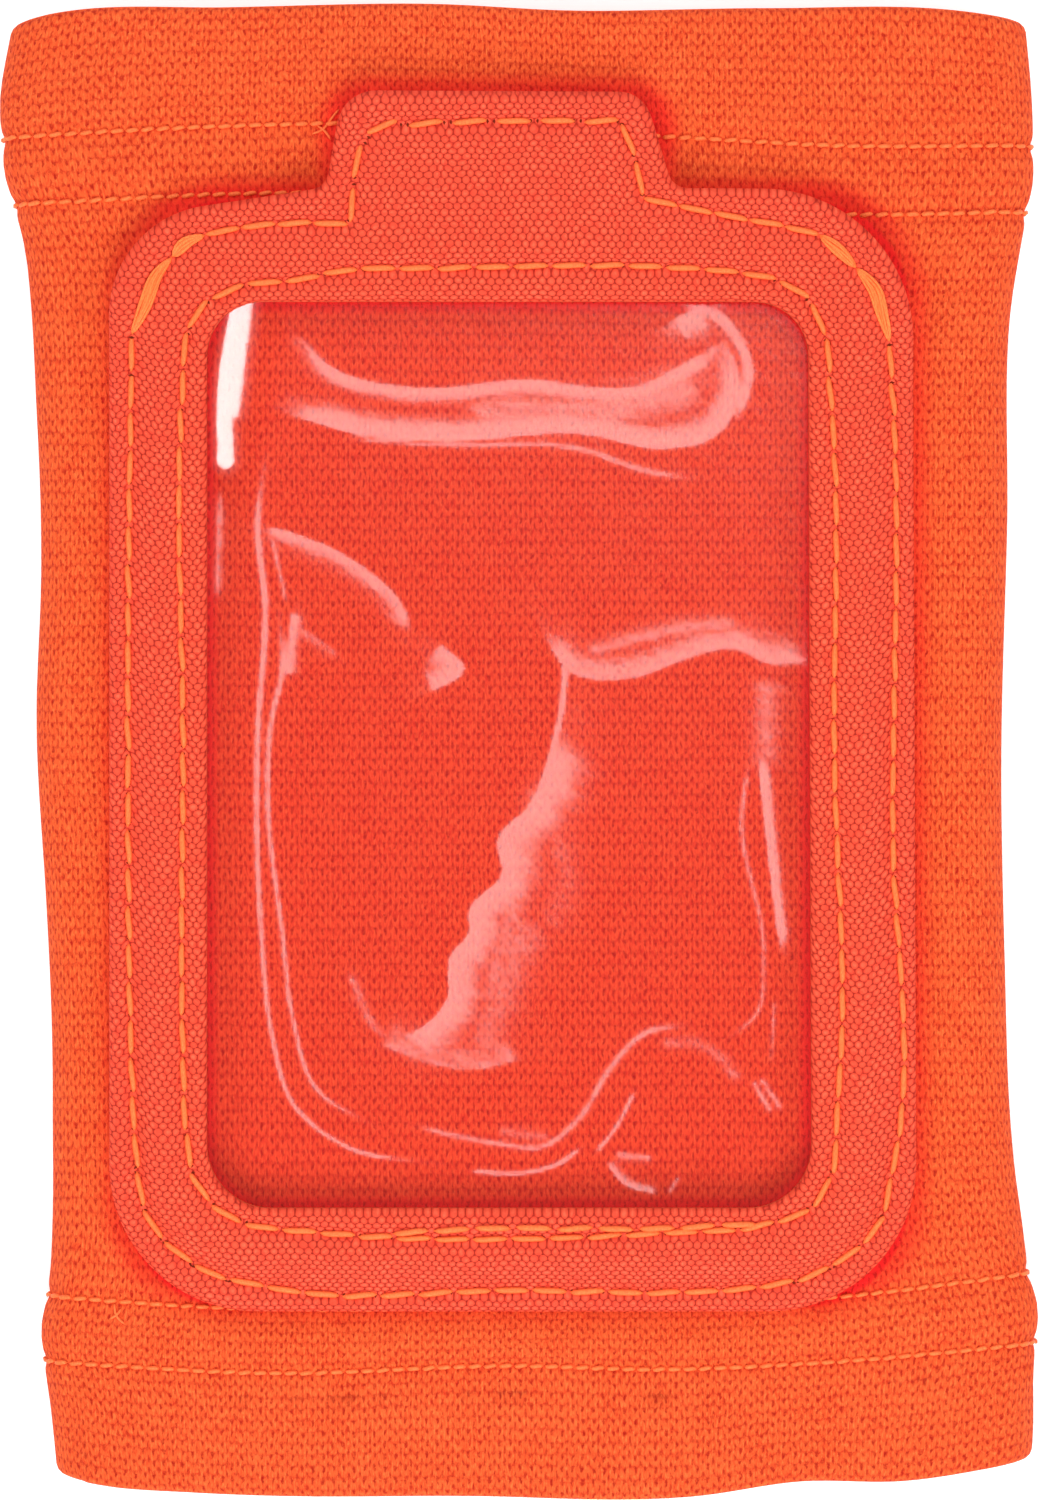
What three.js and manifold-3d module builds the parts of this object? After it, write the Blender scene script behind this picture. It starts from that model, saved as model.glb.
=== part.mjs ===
// Knitted tube armband with a clear window pocket and a pull tab, lying flat with the pocket up.
// Millimetres. X runs across the band, Y along the arm, Z up from the surface that the band lies on.
import * as THREE from 'three';
import { mergeVertices } from 'three/addons/utils/BufferGeometryUtils.js';
import Module from 'manifold-3d';

const wasm = await Module();
wasm.setup();

// Knitted tube
const BAND_LENGTH = 203;
const BAND_WIDTH = 132.6;      // flat width at the middle of the band
const BAND_HEIGHT = 10.2;      // loft of the tube when it lies empty
const KNIT = 1.0;
const FLARE = 0.045;           // how much wider the tube is at its hems, as a share of its width
const FLARE_FROM = 50;         // distance from the middle where the tube starts to widen
const FLARE_TO = 80;

// Hems: a turned-in facing, an elastic in a casing between two rows of stitching
const HEMS = {
  top: { end: 1, outerRow: 83.0, innerRow: 74.2 },
  bottom: { end: -1, outerRow: 83.5, innerRow: 73.5 },
};
const FACING = 0.9;
const FACING_PAST_ROW = 2.2;   // the facing's raw edge lies this far past the inner row
const FOLD_GAP = 0.4;
const ELASTIC = 0.7;
const ELASTIC_WIDTH = 7.4;
const LAYER_GAP = 0.15;
const ROW_WIDTH = 0.8;
const ROW_THICKNESS = 0.35;
const GROOVE_WIDTH = 1.2;
const GROOVE_DEPTH = 0.65;

// Pocket frame: face cloth, foam and lining, cut in one outline with the pull tab
const POCKET_LEFT = -55.8;
const POCKET_RIGHT = 53.4;
const POCKET_BOTTOM = -76.4;
const SHOULDER = 75.8;         // upper edge of the frame beside the tab
const POCKET_RADIUS = 15;
const TAB_BASE = [-26.6, 20.4];
const TAB_END = [-24.0, 16.8];
const TAB_TOP = 89.7;
const TAB_RADIUS = 5;
const TAB_ROOT_RADIUS = 3;
const WINDOW_LEFT = -42.8;
const WINDOW_RIGHT = 39.2;
const WINDOW_BOTTOM = -62.3;
const WINDOW_TOP = 61.0;
const WINDOW_RADIUS = 8;
const OUTER_ROW_INSET = 3.7;   // from the frame's edge to the outer row of stitching
const WINDOW_ROW_OFFSET = 4.4; // from the window's edge to the far side of the inner row
const SEWN_EDGE = 4.8;         // width along which the lining is drawn down to the knit
const FILM_MARGIN = 6.2;       // how far the film runs under the frame

// Fold lines of the mouth and of the tab
const RIM_FOLD = 70.4;
const TAB_FOLD = 77.0;
const FOLD_CLEARANCE = 0.15;
const ROW_FOLD_CLEARANCE = 0.55; // the rows lie above the fold's axis, so they need more

// Hook and loop closure between the tab and the knit
const CLOSURE_X = -3.3;
const LOOP_SIZE = [34, 11.2];
const LOOP_Y = 82.8;
const HOOK_SIZE = [30, 8.2];
const HOOK_Y = 82.8;
const PATCH = 0.6;
const PATCH_RADIUS = 1.5;

// Backstitches that anchor the ends of the sewn edge at the mouth
const BACKSTITCH_RADIUS = 8.9;
const BACKSTITCH_WIDTH = 1.5;
const BACKSTITCH_FROM = 105;   // degrees, on the left corner; the right corner is its mirror image
const BACKSTITCH_TO = 190;
const BACKSTITCH_THICKNESS = 0.6;

// Layers above the knit, from the bottom up
const FILM = 0.35;
const LINING = 0.35;
const FOAM = 1.7;
const FACE = 0.4;
const ROW_ON_FACE = 0.3;
const LOOP_Z = BAND_HEIGHT + LAYER_GAP;
const HOOK_Z = LOOP_Z + PATCH + LAYER_GAP;
const LINING_Z = HOOK_Z + PATCH + LAYER_GAP;
const FILM_Z = LINING_Z - LAYER_GAP - FILM;
const FOAM_Z = LINING_Z + LINING + LAYER_GAP;
const FACE_Z = FOAM_Z + FOAM + LAYER_GAP;
const ROW_Z = FACE_Z + FACE + LAYER_GAP;

const FAR = 400;               // larger than the band, for cutting boxes
const ARC_STEPS = 6;
const TUBE_ARC_STEPS = 5;

const finish = (color, roughness, metalness = 0) => ({ color, roughness, metalness });
const KNIT_FINISH = finish(0xf2622f, 0.95);
const FACING_FINISH = finish(0xea5a2b, 0.95);
const ELASTIC_FINISH = finish(0xf4efe6, 0.8);
const THREAD_FINISH = finish(0xff8a45, 0.6);
const FACE_FINISH = finish(0xee5238, 0.6);
const FOAM_FINISH = finish(0xe8573c, 0.9);
const LINING_FINISH = finish(0xd94a30, 0.85);
const FILM_FINISH = finish(0xf8e6e0, 0.08);
const PATCH_FINISH = finish(0xe0522c, 0.9);

function toSolid(geometry) {
  geometry.deleteAttribute('normal');
  geometry.deleteAttribute('uv');
  const merged = mergeVertices(geometry, 1e-4);
  return new wasm.Manifold(new wasm.Mesh({
    numProp: 3,
    vertProperties: new Float32Array(merged.attributes.position.array),
    triVerts: new Uint32Array(merged.index.array),
  }));
}

function toGeometry(solid) {
  const { vertProperties, triVerts } = solid.getMesh();
  const geometry = new THREE.BufferGeometry();
  geometry.setAttribute('position', new THREE.BufferAttribute(new Float32Array(vertProperties), 3));
  geometry.setIndex(new THREE.BufferAttribute(new Uint32Array(triVerts), 1));
  geometry.computeVertexNormals();
  return geometry;
}

function addPiece(group, name, geometry, look, z = 0) {
  const mesh = new THREE.Mesh(geometry, new THREE.MeshStandardMaterial(look));
  mesh.name = name;
  mesh.position.z = z;
  group.add(mesh);
}

// ---- The tube and what lies inside its hems

function racetrack(halfWidth, halfHeight) {
  const shape = new THREE.Shape();
  const straight = halfWidth - halfHeight;
  shape.absarc(straight, 0, halfHeight, -Math.PI / 2, Math.PI / 2, false);
  shape.absarc(-straight, 0, halfHeight, Math.PI / 2, 1.5 * Math.PI, false);
  return shape;
}

function flare(geometry) {
  const position = geometry.attributes.position;
  for (let i = 0; i < position.count; i += 1) {
    const share = THREE.MathUtils.smoothstep(Math.abs(position.getY(i)), FLARE_FROM, FLARE_TO);
    position.setX(i, position.getX(i) * (1 + FLARE * share));
  }
  return geometry;
}

// A flattened tube: `inset` is how far its outside lies below the tube's own outside.
function tubeRing(inset, wall, from, to, steps) {
  const halfWidth = BAND_WIDTH / 2 - inset;
  const halfHeight = BAND_HEIGHT / 2 - inset;
  const section = racetrack(halfWidth, halfHeight);
  section.holes.push(racetrack(halfWidth - wall, halfHeight - wall));
  const options = { depth: to - from, steps, bevelEnabled: false, curveSegments: TUBE_ARC_STEPS };
  const geometry = new THREE.ExtrudeGeometry(section, options);
  geometry.rotateX(Math.PI / 2);
  geometry.translate(0, to, BAND_HEIGHT / 2);
  return flare(geometry);
}

function rowPlaces() {
  return Object.entries(HEMS).flatMap(([hem, { end, outerRow, innerRow }]) => [
    { name: `${hem}_hem_row_outer`, y: end * outerRow },
    { name: `${hem}_hem_row_inner`, y: end * innerRow },
  ]);
}

function buildTube(group) {
  let knit = toSolid(tubeRing(0, KNIT, -BAND_LENGTH / 2, BAND_LENGTH / 2, 14));
  for (const { name, y } of rowPlaces()) {
    const half = GROOVE_WIDTH / 2;
    knit = knit.subtract(toSolid(tubeRing(-1, 1 + GROOVE_DEPTH, y - half, y + half, 1)));
    const thread = tubeRing(LAYER_GAP, ROW_THICKNESS, y - ROW_WIDTH / 2, y + ROW_WIDTH / 2, 1);
    addPiece(group, name, thread, THREAD_FINISH);
  }
  addPiece(group, 'knit_sleeve', toGeometry(knit), KNIT_FINISH);
}

function buildHem(group, hem) {
  const { end, outerRow, innerRow } = HEMS[hem];
  const elasticInset = KNIT + LAYER_GAP;
  const facingInset = elasticInset + ELASTIC + LAYER_GAP;
  const casing = end * (outerRow + innerRow) / 2;
  const elastic = tubeRing(elasticInset, ELASTIC, casing - ELASTIC_WIDTH / 2, casing + ELASTIC_WIDTH / 2, 1);
  addPiece(group, `${hem}_elastic`, elastic, ELASTIC_FINISH);
  const edges = [end * (innerRow - FACING_PAST_ROW), end * (BAND_LENGTH / 2 - FOLD_GAP)];
  const facing = tubeRing(facingInset, FACING, Math.min(...edges), Math.max(...edges), 4);
  addPiece(group, `${hem}_hem_facing`, facing, FACING_FINISH);
}

// ---- Flat outlines with rounded corners

const FRAME_CORNERS = [
  [POCKET_LEFT, POCKET_BOTTOM, POCKET_RADIUS],
  [POCKET_RIGHT, POCKET_BOTTOM, POCKET_RADIUS],
  [POCKET_RIGHT, SHOULDER, POCKET_RADIUS],
  [TAB_BASE[1], SHOULDER, TAB_ROOT_RADIUS],
  [TAB_END[1], TAB_TOP, TAB_RADIUS],
  [TAB_END[0], TAB_TOP, TAB_RADIUS],
  [TAB_BASE[0], SHOULDER, TAB_ROOT_RADIUS],
  [POCKET_LEFT, SHOULDER, POCKET_RADIUS],
];
const WINDOW_CORNERS = boxCorners(WINDOW_LEFT, WINDOW_BOTTOM, WINDOW_RIGHT, WINDOW_TOP, WINDOW_RADIUS);

function boxCorners(left, bottom, right, top, radius) {
  return [[left, bottom, radius], [right, bottom, radius], [right, top, radius], [left, top, radius]];
}

function patchCorners([width, height], y) {
  const [left, bottom] = [CLOSURE_X - width / 2, y - height / 2];
  return boxCorners(left, bottom, left + width, bottom + height, PATCH_RADIUS);
}

// The outline through anticlockwise corners, moved inwards by `inset`, each corner an arc.
function outline(corners, inset = 0) {
  const shape = new THREE.Shape();
  const count = corners.length;
  const point = (i) => new THREE.Vector2(corners[(i + count) % count][0], corners[(i + count) % count][1]);
  for (let i = 0; i < count; i += 1) {
    const before = point(i).sub(point(i - 1)).normalize();
    const after = point(i + 1).sub(point(i)).normalize();
    const turn = before.cross(after);
    const halfTurn = Math.acos(before.dot(after)) / 2;
    const side = Math.sign(turn);
    const radius = corners[i][2] - side * inset;
    // the two edges, both moved inwards, meet on the corner's bisector
    const bisector = new THREE.Vector2(-before.y - after.y, before.x + after.x).normalize();
    const corner = point(i).addScaledVector(bisector, inset / Math.cos(halfTurn));
    const centre = corner.addScaledVector(bisector, side * radius / Math.cos(halfTurn));
    const start = Math.atan2(-side * before.x, side * before.y);
    shape.absarc(centre.x, centre.y, radius, start, start + 2 * side * halfTurn, side < 0);
  }
  return shape;
}

function slab(shape, thickness) {
  const options = { depth: thickness, bevelEnabled: false, curveSegments: ARC_STEPS };
  return toSolid(new THREE.ExtrudeGeometry(shape, options));
}

// A flat ring between two outlines of the same corners.
function ringSlab(corners, inset, width, thickness) {
  const shape = outline(corners, inset);
  shape.holes.push(outline(corners, inset + width));
  return slab(shape, thickness);
}

function cutY(solid, from, to) {
  const box = new THREE.BoxGeometry(FAR, to - from, FAR);
  box.translate(0, (from + to) / 2, 0);
  return solid.intersect(toSolid(box));
}

function cutX(solid, from, to) {
  const box = new THREE.BoxGeometry(to - from, FAR, FAR);
  box.translate((from + to) / 2, 0, 0);
  return solid.intersect(toSolid(box));
}

// ---- The pocket: one laminate outline, divided at its two fold lines

const FRAME_SPAN = [-FAR / 2, RIM_FOLD - FOLD_CLEARANCE];
const RIM_SPAN = [RIM_FOLD + FOLD_CLEARANCE, TAB_FOLD - FOLD_CLEARANCE];
const TAB_SPAN = [TAB_FOLD + FOLD_CLEARANCE, FAR / 2];

function laminateLayer(thickness) {
  const shape = outline(FRAME_CORNERS);
  shape.holes.push(outline(WINDOW_CORNERS));
  return slab(shape, thickness);
}

function buildLaminate(group, part, span) {
  addPiece(group, `${part}_face`, toGeometry(cutY(laminateLayer(FACE), ...span)), FACE_FINISH, FACE_Z);
  addPiece(group, `${part}_foam`, toGeometry(cutY(laminateLayer(FOAM), ...span)), FOAM_FINISH, FOAM_Z);
}

// The frame's lining runs down to the knit along the sewn sides and bottom, and stays open at the mouth.
function buildFrameLining(group) {
  const drop = LINING_Z - LOOP_Z;
  const sheet = laminateLayer(LINING).translate([0, 0, drop]);
  const edge = ringSlab(FRAME_CORNERS, 0, SEWN_EDGE, drop + LINING);
  const skirt = cutY(edge, -FAR / 2, RIM_FOLD - POCKET_RADIUS);
  const lining = cutY(sheet.add(skirt), ...FRAME_SPAN);
  addPiece(group, 'frame_lining', toGeometry(lining), LINING_FINISH, LOOP_Z);
}

function buildWindow(group) {
  const film = slab(outline(WINDOW_CORNERS, -FILM_MARGIN), FILM);
  addPiece(group, 'window_film', toGeometry(film), FILM_FINISH, FILM_Z);
  const row = ringSlab(WINDOW_CORNERS, -WINDOW_ROW_OFFSET, ROW_WIDTH, ROW_ON_FACE);
  addPiece(group, 'window_row', toGeometry(row), THREAD_FINISH, ROW_Z);
}

function outerRow(span) {
  return cutY(ringSlab(FRAME_CORNERS, OUTER_ROW_INSET, ROW_WIDTH, ROW_ON_FACE), ...span);
}

function backstitch(centreX, from, to) {
  const centreY = SHOULDER - POCKET_RADIUS;
  const [start, end] = [from, to].map(THREE.MathUtils.degToRad);
  const shape = new THREE.Shape();
  shape.absarc(centreX, centreY, BACKSTITCH_RADIUS + BACKSTITCH_WIDTH / 2, start, end, false);
  shape.absarc(centreX, centreY, BACKSTITCH_RADIUS - BACKSTITCH_WIDTH / 2, end, start, true);
  return toGeometry(slab(shape, BACKSTITCH_THICKNESS));
}

function buildPocketStitching(sleeve, rim, tab) {
  const sideEnd = SHOULDER - POCKET_RADIUS - BACKSTITCH_RADIUS / 2;
  addPiece(sleeve, 'pocket_row', toGeometry(outerRow([-FAR / 2, sideEnd])), THREAD_FINISH, ROW_Z);
  const left = backstitch(POCKET_LEFT + POCKET_RADIUS, BACKSTITCH_FROM, BACKSTITCH_TO);
  addPiece(sleeve, 'left_backstitch', left, THREAD_FINISH, ROW_Z);
  const right = backstitch(POCKET_RIGHT - POCKET_RADIUS, 180 - BACKSTITCH_TO, 180 - BACKSTITCH_FROM);
  addPiece(sleeve, 'right_backstitch', right, THREAD_FINISH, ROW_Z);
  const rimRow = outerRow([RIM_SPAN[0], TAB_FOLD - ROW_FOLD_CLEARANCE]);
  addPiece(rim, 'rim_row_left', toGeometry(cutX(rimRow, -FAR / 2, CLOSURE_X)), THREAD_FINISH, ROW_Z);
  addPiece(rim, 'rim_row_right', toGeometry(cutX(rimRow, CLOSURE_X, FAR / 2)), THREAD_FINISH, ROW_Z);
  const tabRow = outerRow([TAB_FOLD + ROW_FOLD_CLEARANCE, FAR / 2]);
  addPiece(tab, 'tab_row', toGeometry(tabRow), THREAD_FINISH, ROW_Z);
}

function buildClosure(sleeve, tab) {
  const loop = patchCorners(LOOP_SIZE, LOOP_Y);
  addPiece(sleeve, 'loop_patch', toGeometry(slab(outline(loop), PATCH)), PATCH_FINISH, LOOP_Z);
  const stitch = ringSlab(loop, 0.5, 0.5, ROW_ON_FACE);
  addPiece(sleeve, 'loop_patch_row', toGeometry(stitch), THREAD_FINISH, HOOK_Z);
  const hook = slab(outline(patchCorners(HOOK_SIZE, HOOK_Y)), PATCH);
  addPiece(tab, 'hook_patch', toGeometry(hook), PATCH_FINISH, HOOK_Z);
}

function buildFlapLining(group, part, span) {
  const lining = toGeometry(cutY(laminateLayer(LINING), ...span));
  addPiece(group, `${part}_lining`, lining, LINING_FINISH, LINING_Z);
}

const armband = new THREE.Group();
const [sleeve, rim, tab] = [new THREE.Group(), new THREE.Group(), new THREE.Group()];
armband.add(sleeve, rim, tab);
buildTube(sleeve);
Object.keys(HEMS).forEach((hem) => buildHem(sleeve, hem));
buildLaminate(sleeve, 'frame', FRAME_SPAN);
buildFrameLining(sleeve);
buildWindow(sleeve);
buildLaminate(rim, 'rim', RIM_SPAN);
buildFlapLining(rim, 'rim', RIM_SPAN);
buildLaminate(tab, 'tab', TAB_SPAN);
buildFlapLining(tab, 'tab', TAB_SPAN);
buildPocketStitching(sleeve, rim, tab);
buildClosure(sleeve, tab);

export default armband;
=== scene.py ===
import math

import bpy
import numpy as np
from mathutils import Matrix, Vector, geometry


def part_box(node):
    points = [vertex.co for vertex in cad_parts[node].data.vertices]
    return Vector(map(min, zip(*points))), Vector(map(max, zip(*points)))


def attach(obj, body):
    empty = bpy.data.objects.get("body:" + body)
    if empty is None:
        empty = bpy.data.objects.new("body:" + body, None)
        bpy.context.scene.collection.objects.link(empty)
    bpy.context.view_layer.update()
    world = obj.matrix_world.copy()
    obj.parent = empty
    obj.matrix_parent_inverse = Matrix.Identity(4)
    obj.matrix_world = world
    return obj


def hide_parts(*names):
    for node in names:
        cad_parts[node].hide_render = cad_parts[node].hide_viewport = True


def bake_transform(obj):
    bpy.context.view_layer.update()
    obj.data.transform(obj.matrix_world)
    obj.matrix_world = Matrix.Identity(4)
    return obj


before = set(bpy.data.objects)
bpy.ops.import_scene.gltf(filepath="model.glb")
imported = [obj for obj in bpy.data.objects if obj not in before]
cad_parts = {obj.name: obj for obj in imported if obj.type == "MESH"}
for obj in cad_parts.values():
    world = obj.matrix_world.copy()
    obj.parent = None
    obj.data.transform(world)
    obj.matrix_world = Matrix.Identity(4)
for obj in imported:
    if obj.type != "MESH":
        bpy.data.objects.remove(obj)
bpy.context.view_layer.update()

# A knitted tube armband with a framed vinyl window pocket, lying flat with the pocket up.
# Shapes are worked out in millimetres and written to the meshes in metres.
MM = 0.001


def box_mm(node):
    low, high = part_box(node)
    return np.array(low) / MM, np.array(high) / MM


band_high = box_mm("knit_sleeve")[1]
face_low, face_high = box_mm("frame_face")
foam_low, foam_high = box_mm("frame_foam")
rim_low, rim_high = box_mm("rim_face")
tab_low, tab_high = box_mm("tab_face")
film_low, film_high = box_mm("window_film")
lining_low, lining_high = box_mm("rim_lining")

BAND_HEIGHT = band_high[2]
BAND_END = band_high[1]
SIDE_RADIUS = BAND_HEIGHT / 2
MIDDLE_WIDTH = 132.6
STRAIGHT = MIDDLE_WIDTH / 2 - SIDE_RADIUS
CLOTH = 0.9

# the four rows of stitching at the hems, from the top down: which hem, which of its rows, and its height
HEM_ROWS = [(hem, side, sum(box_mm(f"{hem}_hem_row_{side}"))[1] / 2)
            for hem, side in (("top", "outer"), ("top", "inner"), ("bottom", "inner"), ("bottom", "outer"))]
TOP_OUTER, TOP_INNER, BOTTOM_INNER, BOTTOM_OUTER = (height for _, _, height in HEM_ROWS)

# fold lines of the mouth and of the tab, and the stretches over which the laminate bends
RIM_FOLD = (face_high[1] + rim_low[1]) / 2
FILM_MARGIN = 6.2
SHOULDER = RIM_FOLD + 5.4

# where the camera stands, straight above the middle, and the lamp whose glare the window's creases show
VIEW_HEIGHT, LENS, SENSOR = 205.5 * MM, 200.0, 36.0
CAMERA_PLACE = np.array([0, 0, BAND_HEIGHT / 2 * MM + VIEW_HEIGHT * LENS / SENSOR])
STRIP_AZIMUTH, STRIP_TILT, STRIP_DISTANCE = 150, 17, 1.3


def direction_to(azimuth, tilt):
    """The way towards something, by its angle round from the front and its angle from straight overhead."""
    a, t = math.radians(azimuth), math.radians(tilt)
    return np.array([math.sin(t) * math.sin(a), -math.sin(t) * math.cos(a), math.cos(t)])


STRIP_PLACE = direction_to(STRIP_AZIMUTH, STRIP_TILT) * STRIP_DISTANCE


# ---------------------------------------------------------------- mesh helpers

def link(obj):
    bpy.context.scene.collection.objects.link(obj)
    return obj


def mesh_object(name, verts, faces, material, uv=None):
    """A smooth-shaded mesh from points in millimetres.

    uv holds one pair for each corner of each face, in face order."""
    mesh = bpy.data.meshes.new(name)
    mesh.from_pydata((np.asarray(verts, float) * MM).tolist(), [], faces)
    if uv is not None:
        layer = mesh.uv_layers.new(name="UVMap")
        layer.data.foreach_set("uv", np.asarray(uv, np.float32).ravel())
    mesh.shade_smooth()
    mesh.materials.append(material)
    mesh.update()
    return link(bpy.data.objects.new(name, mesh))


def smooth_step(x, low, high):
    t = np.clip((np.asarray(x, float) - low) / (high - low), 0, 1)
    return t * t * (3 - 2 * t)


def bell(x, width):
    return np.exp(-((np.asarray(x, float) / width) ** 2))


def curve_through(points):
    """A smooth function of one variable through a few points."""
    xs, ys = np.array(points, float).T
    slope = np.gradient(ys, xs)

    def value(x):
        x = np.clip(x, xs[0], xs[-1])
        i = np.clip(np.searchsorted(xs, x) - 1, 0, len(xs) - 2)
        h = xs[i + 1] - xs[i]
        t = (x - xs[i]) / h
        return ((1 + 2 * t) * (1 - t) ** 2 * ys[i] + t * (1 - t) ** 2 * h * slope[i]
                + t * t * (3 - 2 * t) * ys[i + 1] + t * t * (t - 1) * h * slope[i + 1])

    return value


def spline(points, step=1.0):
    """Points along a smooth open line through a few control points, evenly spaced."""
    points = np.array(points, float)
    chord = np.r_[0, np.cumsum(np.linalg.norm(np.diff(points, axis=0), axis=1))]
    fine = np.linspace(0, chord[-1], max(8, int(chord[-1] / step * 4)))
    dense = np.stack([curve_through(np.stack([chord, c], 1))(fine) for c in points.T], 1)
    return even(dense, step)


def even(line, step):
    length = np.r_[0, np.cumsum(np.linalg.norm(np.diff(line, axis=0), axis=1))]
    at = np.linspace(0, length[-1], max(2, round(length[-1] / step) + 1))
    return np.stack([np.interp(at, length, c) for c in line.T], 1)


def nearest_on(points, line):
    """(distance, side, place along the line) of 2-D points to an open line.

    The side is 1 to its left and -1 to its right, and the place goes from 0 to 1."""
    best = np.full(len(points), np.inf)
    side, along = np.ones(len(points)), np.zeros(len(points))
    for i in range(len(line) - 1):
        a, d = line[i], line[i + 1] - line[i]
        to = points - a
        t = np.clip((to @ d) / max(d @ d, 1e-12), 0, 1)
        gap = np.linalg.norm(to - t[:, None] * d, axis=1)
        closer = gap < best
        best[closer] = gap[closer]
        side[closer] = np.where(d[0] * to[:, 1] - d[1] * to[:, 0] > 0, 1, -1)[closer]
        along[closer] = ((i + t) / (len(line) - 1))[closer]
    return best, side, along


def distance_round(points, line):
    """The distance of each 2-D point to a closed line."""
    return nearest_on(points, closed(line))[0]


def closed(line):
    return np.vstack([line, line[:1]])


# ---------------------------------------------------------------- shader helpers

SOCKETS = {"metal": "Metallic", "sheen": "Sheen Weight", "sheen_roughness": "Sheen Roughness",
           "sheen_tint": "Sheen Tint", "specular": "Specular IOR Level", "glow": "Emission Strength",
           "glow_color": "Emission Color"}


class Shader:
    """A small notation for a material's node tree."""

    def __init__(self, name):
        self.material = bpy.data.materials.new(name)
        self.material.use_nodes = True
        self.tree = self.material.node_tree
        self.tree.nodes.clear()

    def node(self, kind, inputs=None, **settings):
        made = self.tree.nodes.new(kind)
        for key, value in settings.items():
            setattr(made, key, value)
        for key, value in (inputs or {}).items():
            self.feed(made.inputs[key], value)
        return made

    def feed(self, socket, value):
        if isinstance(value, bpy.types.NodeSocket):
            self.tree.links.new(value, socket)
        else:
            socket.default_value = value

    def math(self, operation, *values):
        made = self.node("ShaderNodeMath", dict(enumerate(values)), operation=operation)
        return made.outputs[0]

    def vector(self, operation, a, b):
        return self.node("ShaderNodeVectorMath", {0: a, 1: b}, operation=operation).outputs[0]

    def between(self, value, low, high, out_low=0.0, out_high=1.0):
        """A smooth step from out_low, where value is low, to out_high, where it is high."""
        made = self.node("ShaderNodeMapRange", {"Value": value, "From Min": low, "From Max": high,
                                                "To Min": out_low, "To Max": out_high})
        made.interpolation_type = "SMOOTHSTEP"
        return made.outputs[0]

    def mix(self, factor, a, b):
        """The colour that goes from a to b as factor goes from 0 to 1."""
        made = self.node("ShaderNodeMix", data_type="RGBA")
        self.feed(made.inputs[0], factor)
        self.feed(made.inputs[6], a)
        self.feed(made.inputs[7], b)
        return made.outputs[2]

    def noise(self, vector, scale, detail=2.0, roughness=0.5, output="Fac"):
        made = self.node("ShaderNodeTexNoise", {"Vector": vector, "Scale": scale, "Detail": detail,
                                                "Roughness": roughness})
        return made.outputs[output]

    def uv(self):
        return self.node("ShaderNodeUVMap", uv_map="UVMap").outputs[0]

    def place(self):
        return self.node("ShaderNodeTexCoord").outputs["Object"]

    def product(self, *values):
        first, *others = values
        for other in others:
            first = self.math("MULTIPLY", first, other)
        return first

    def jitter(self, uv, scale, detail, reach):
        """How far a slow noise pushes uv about: up to half of reach each way."""
        noise = self.noise(uv, scale, detail, output="Color")
        centred = self.vector("SUBTRACT", noise, (0.5, 0.5, 0.5))
        return self.vector("MULTIPLY", centred, (*reach, 0.0))

    def split(self, vector):
        made = self.node("ShaderNodeSeparateXYZ", {0: vector})
        return made.outputs[0], made.outputs[1], made.outputs[2]

    def bump(self, height, distance, strength=1.0, normal=None):
        made = self.node("ShaderNodeBump", {"Height": height, "Distance": distance, "Strength": strength})
        if normal is not None:
            self.feed(made.inputs["Normal"], normal)
        return made.outputs[0]

    def finish(self, surface):
        out = self.node("ShaderNodeOutputMaterial")
        self.tree.links.new(surface, out.inputs["Surface"])
        return self.material

    def principled(self, color, roughness, normal=None, **uniform):
        made = self.node("ShaderNodeBsdfPrincipled", {"Base Color": color, "Roughness": roughness})
        if normal is not None:
            self.feed(made.inputs["Normal"], normal)
        for key, value in uniform.items():
            made.inputs[SOCKETS[key]].default_value = value
        return made.outputs[0]


def rgb(r, g, b):
    return (r, g, b, 1.0)


PAINTED_RED_GLOW = rgb(1.0, 0.03, 0.02)      # a painted red glow for the orange cloths and threads, though they are no lamp; it lifts the red in their shadows

# ---------------------------------------------------------------- materials

WALE, COURSE = 1.42, 1.65         # width and height of a knitted stitch
CLOTH_CELL = (1.16, 1.70)         # width and height of the weave's repeat on the frame

# the window's, the frame's and the tab's outlines on the band: (lowest corner, highest corner)
WINDOW_BOX = (film_low[:2] + FILM_MARGIN, film_high[:2] - FILM_MARGIN)
FRAME_BOX = (face_low[:2] + [1.0, 0], [face_high[0], SHOULDER])
TAB_BOX = (tab_low[:2] - [-1.0, 20], tab_high[:2] - [1.0, 0])


def rounded_box(s, place, box, radius):
    """The distance in millimetres outside a rounded rectangle, negative inside it."""
    (x0, y0), (x1, y1) = box
    x, y, _ = s.split(place)
    over = []
    for value, low, high in ((x, x0, x1), (y, y0, y1)):
        centred = s.math("SUBTRACT", s.math("MULTIPLY", value, 1 / MM), (low + high) / 2)
        over.append(s.math("SUBTRACT", s.math("ABSOLUTE", centred), (high - low) / 2 - radius))
    outside = [s.math("MAXIMUM", o, 0.0) for o in over]
    length = s.math("SQRT", s.math("ADD", s.math("POWER", outside[0], 2.0), s.math("POWER", outside[1], 2.0)))
    inside = s.math("MINIMUM", s.math("MAXIMUM", over[0], over[1]), 0.0)
    return s.math("SUBTRACT", s.math("ADD", length, inside), radius)


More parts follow.
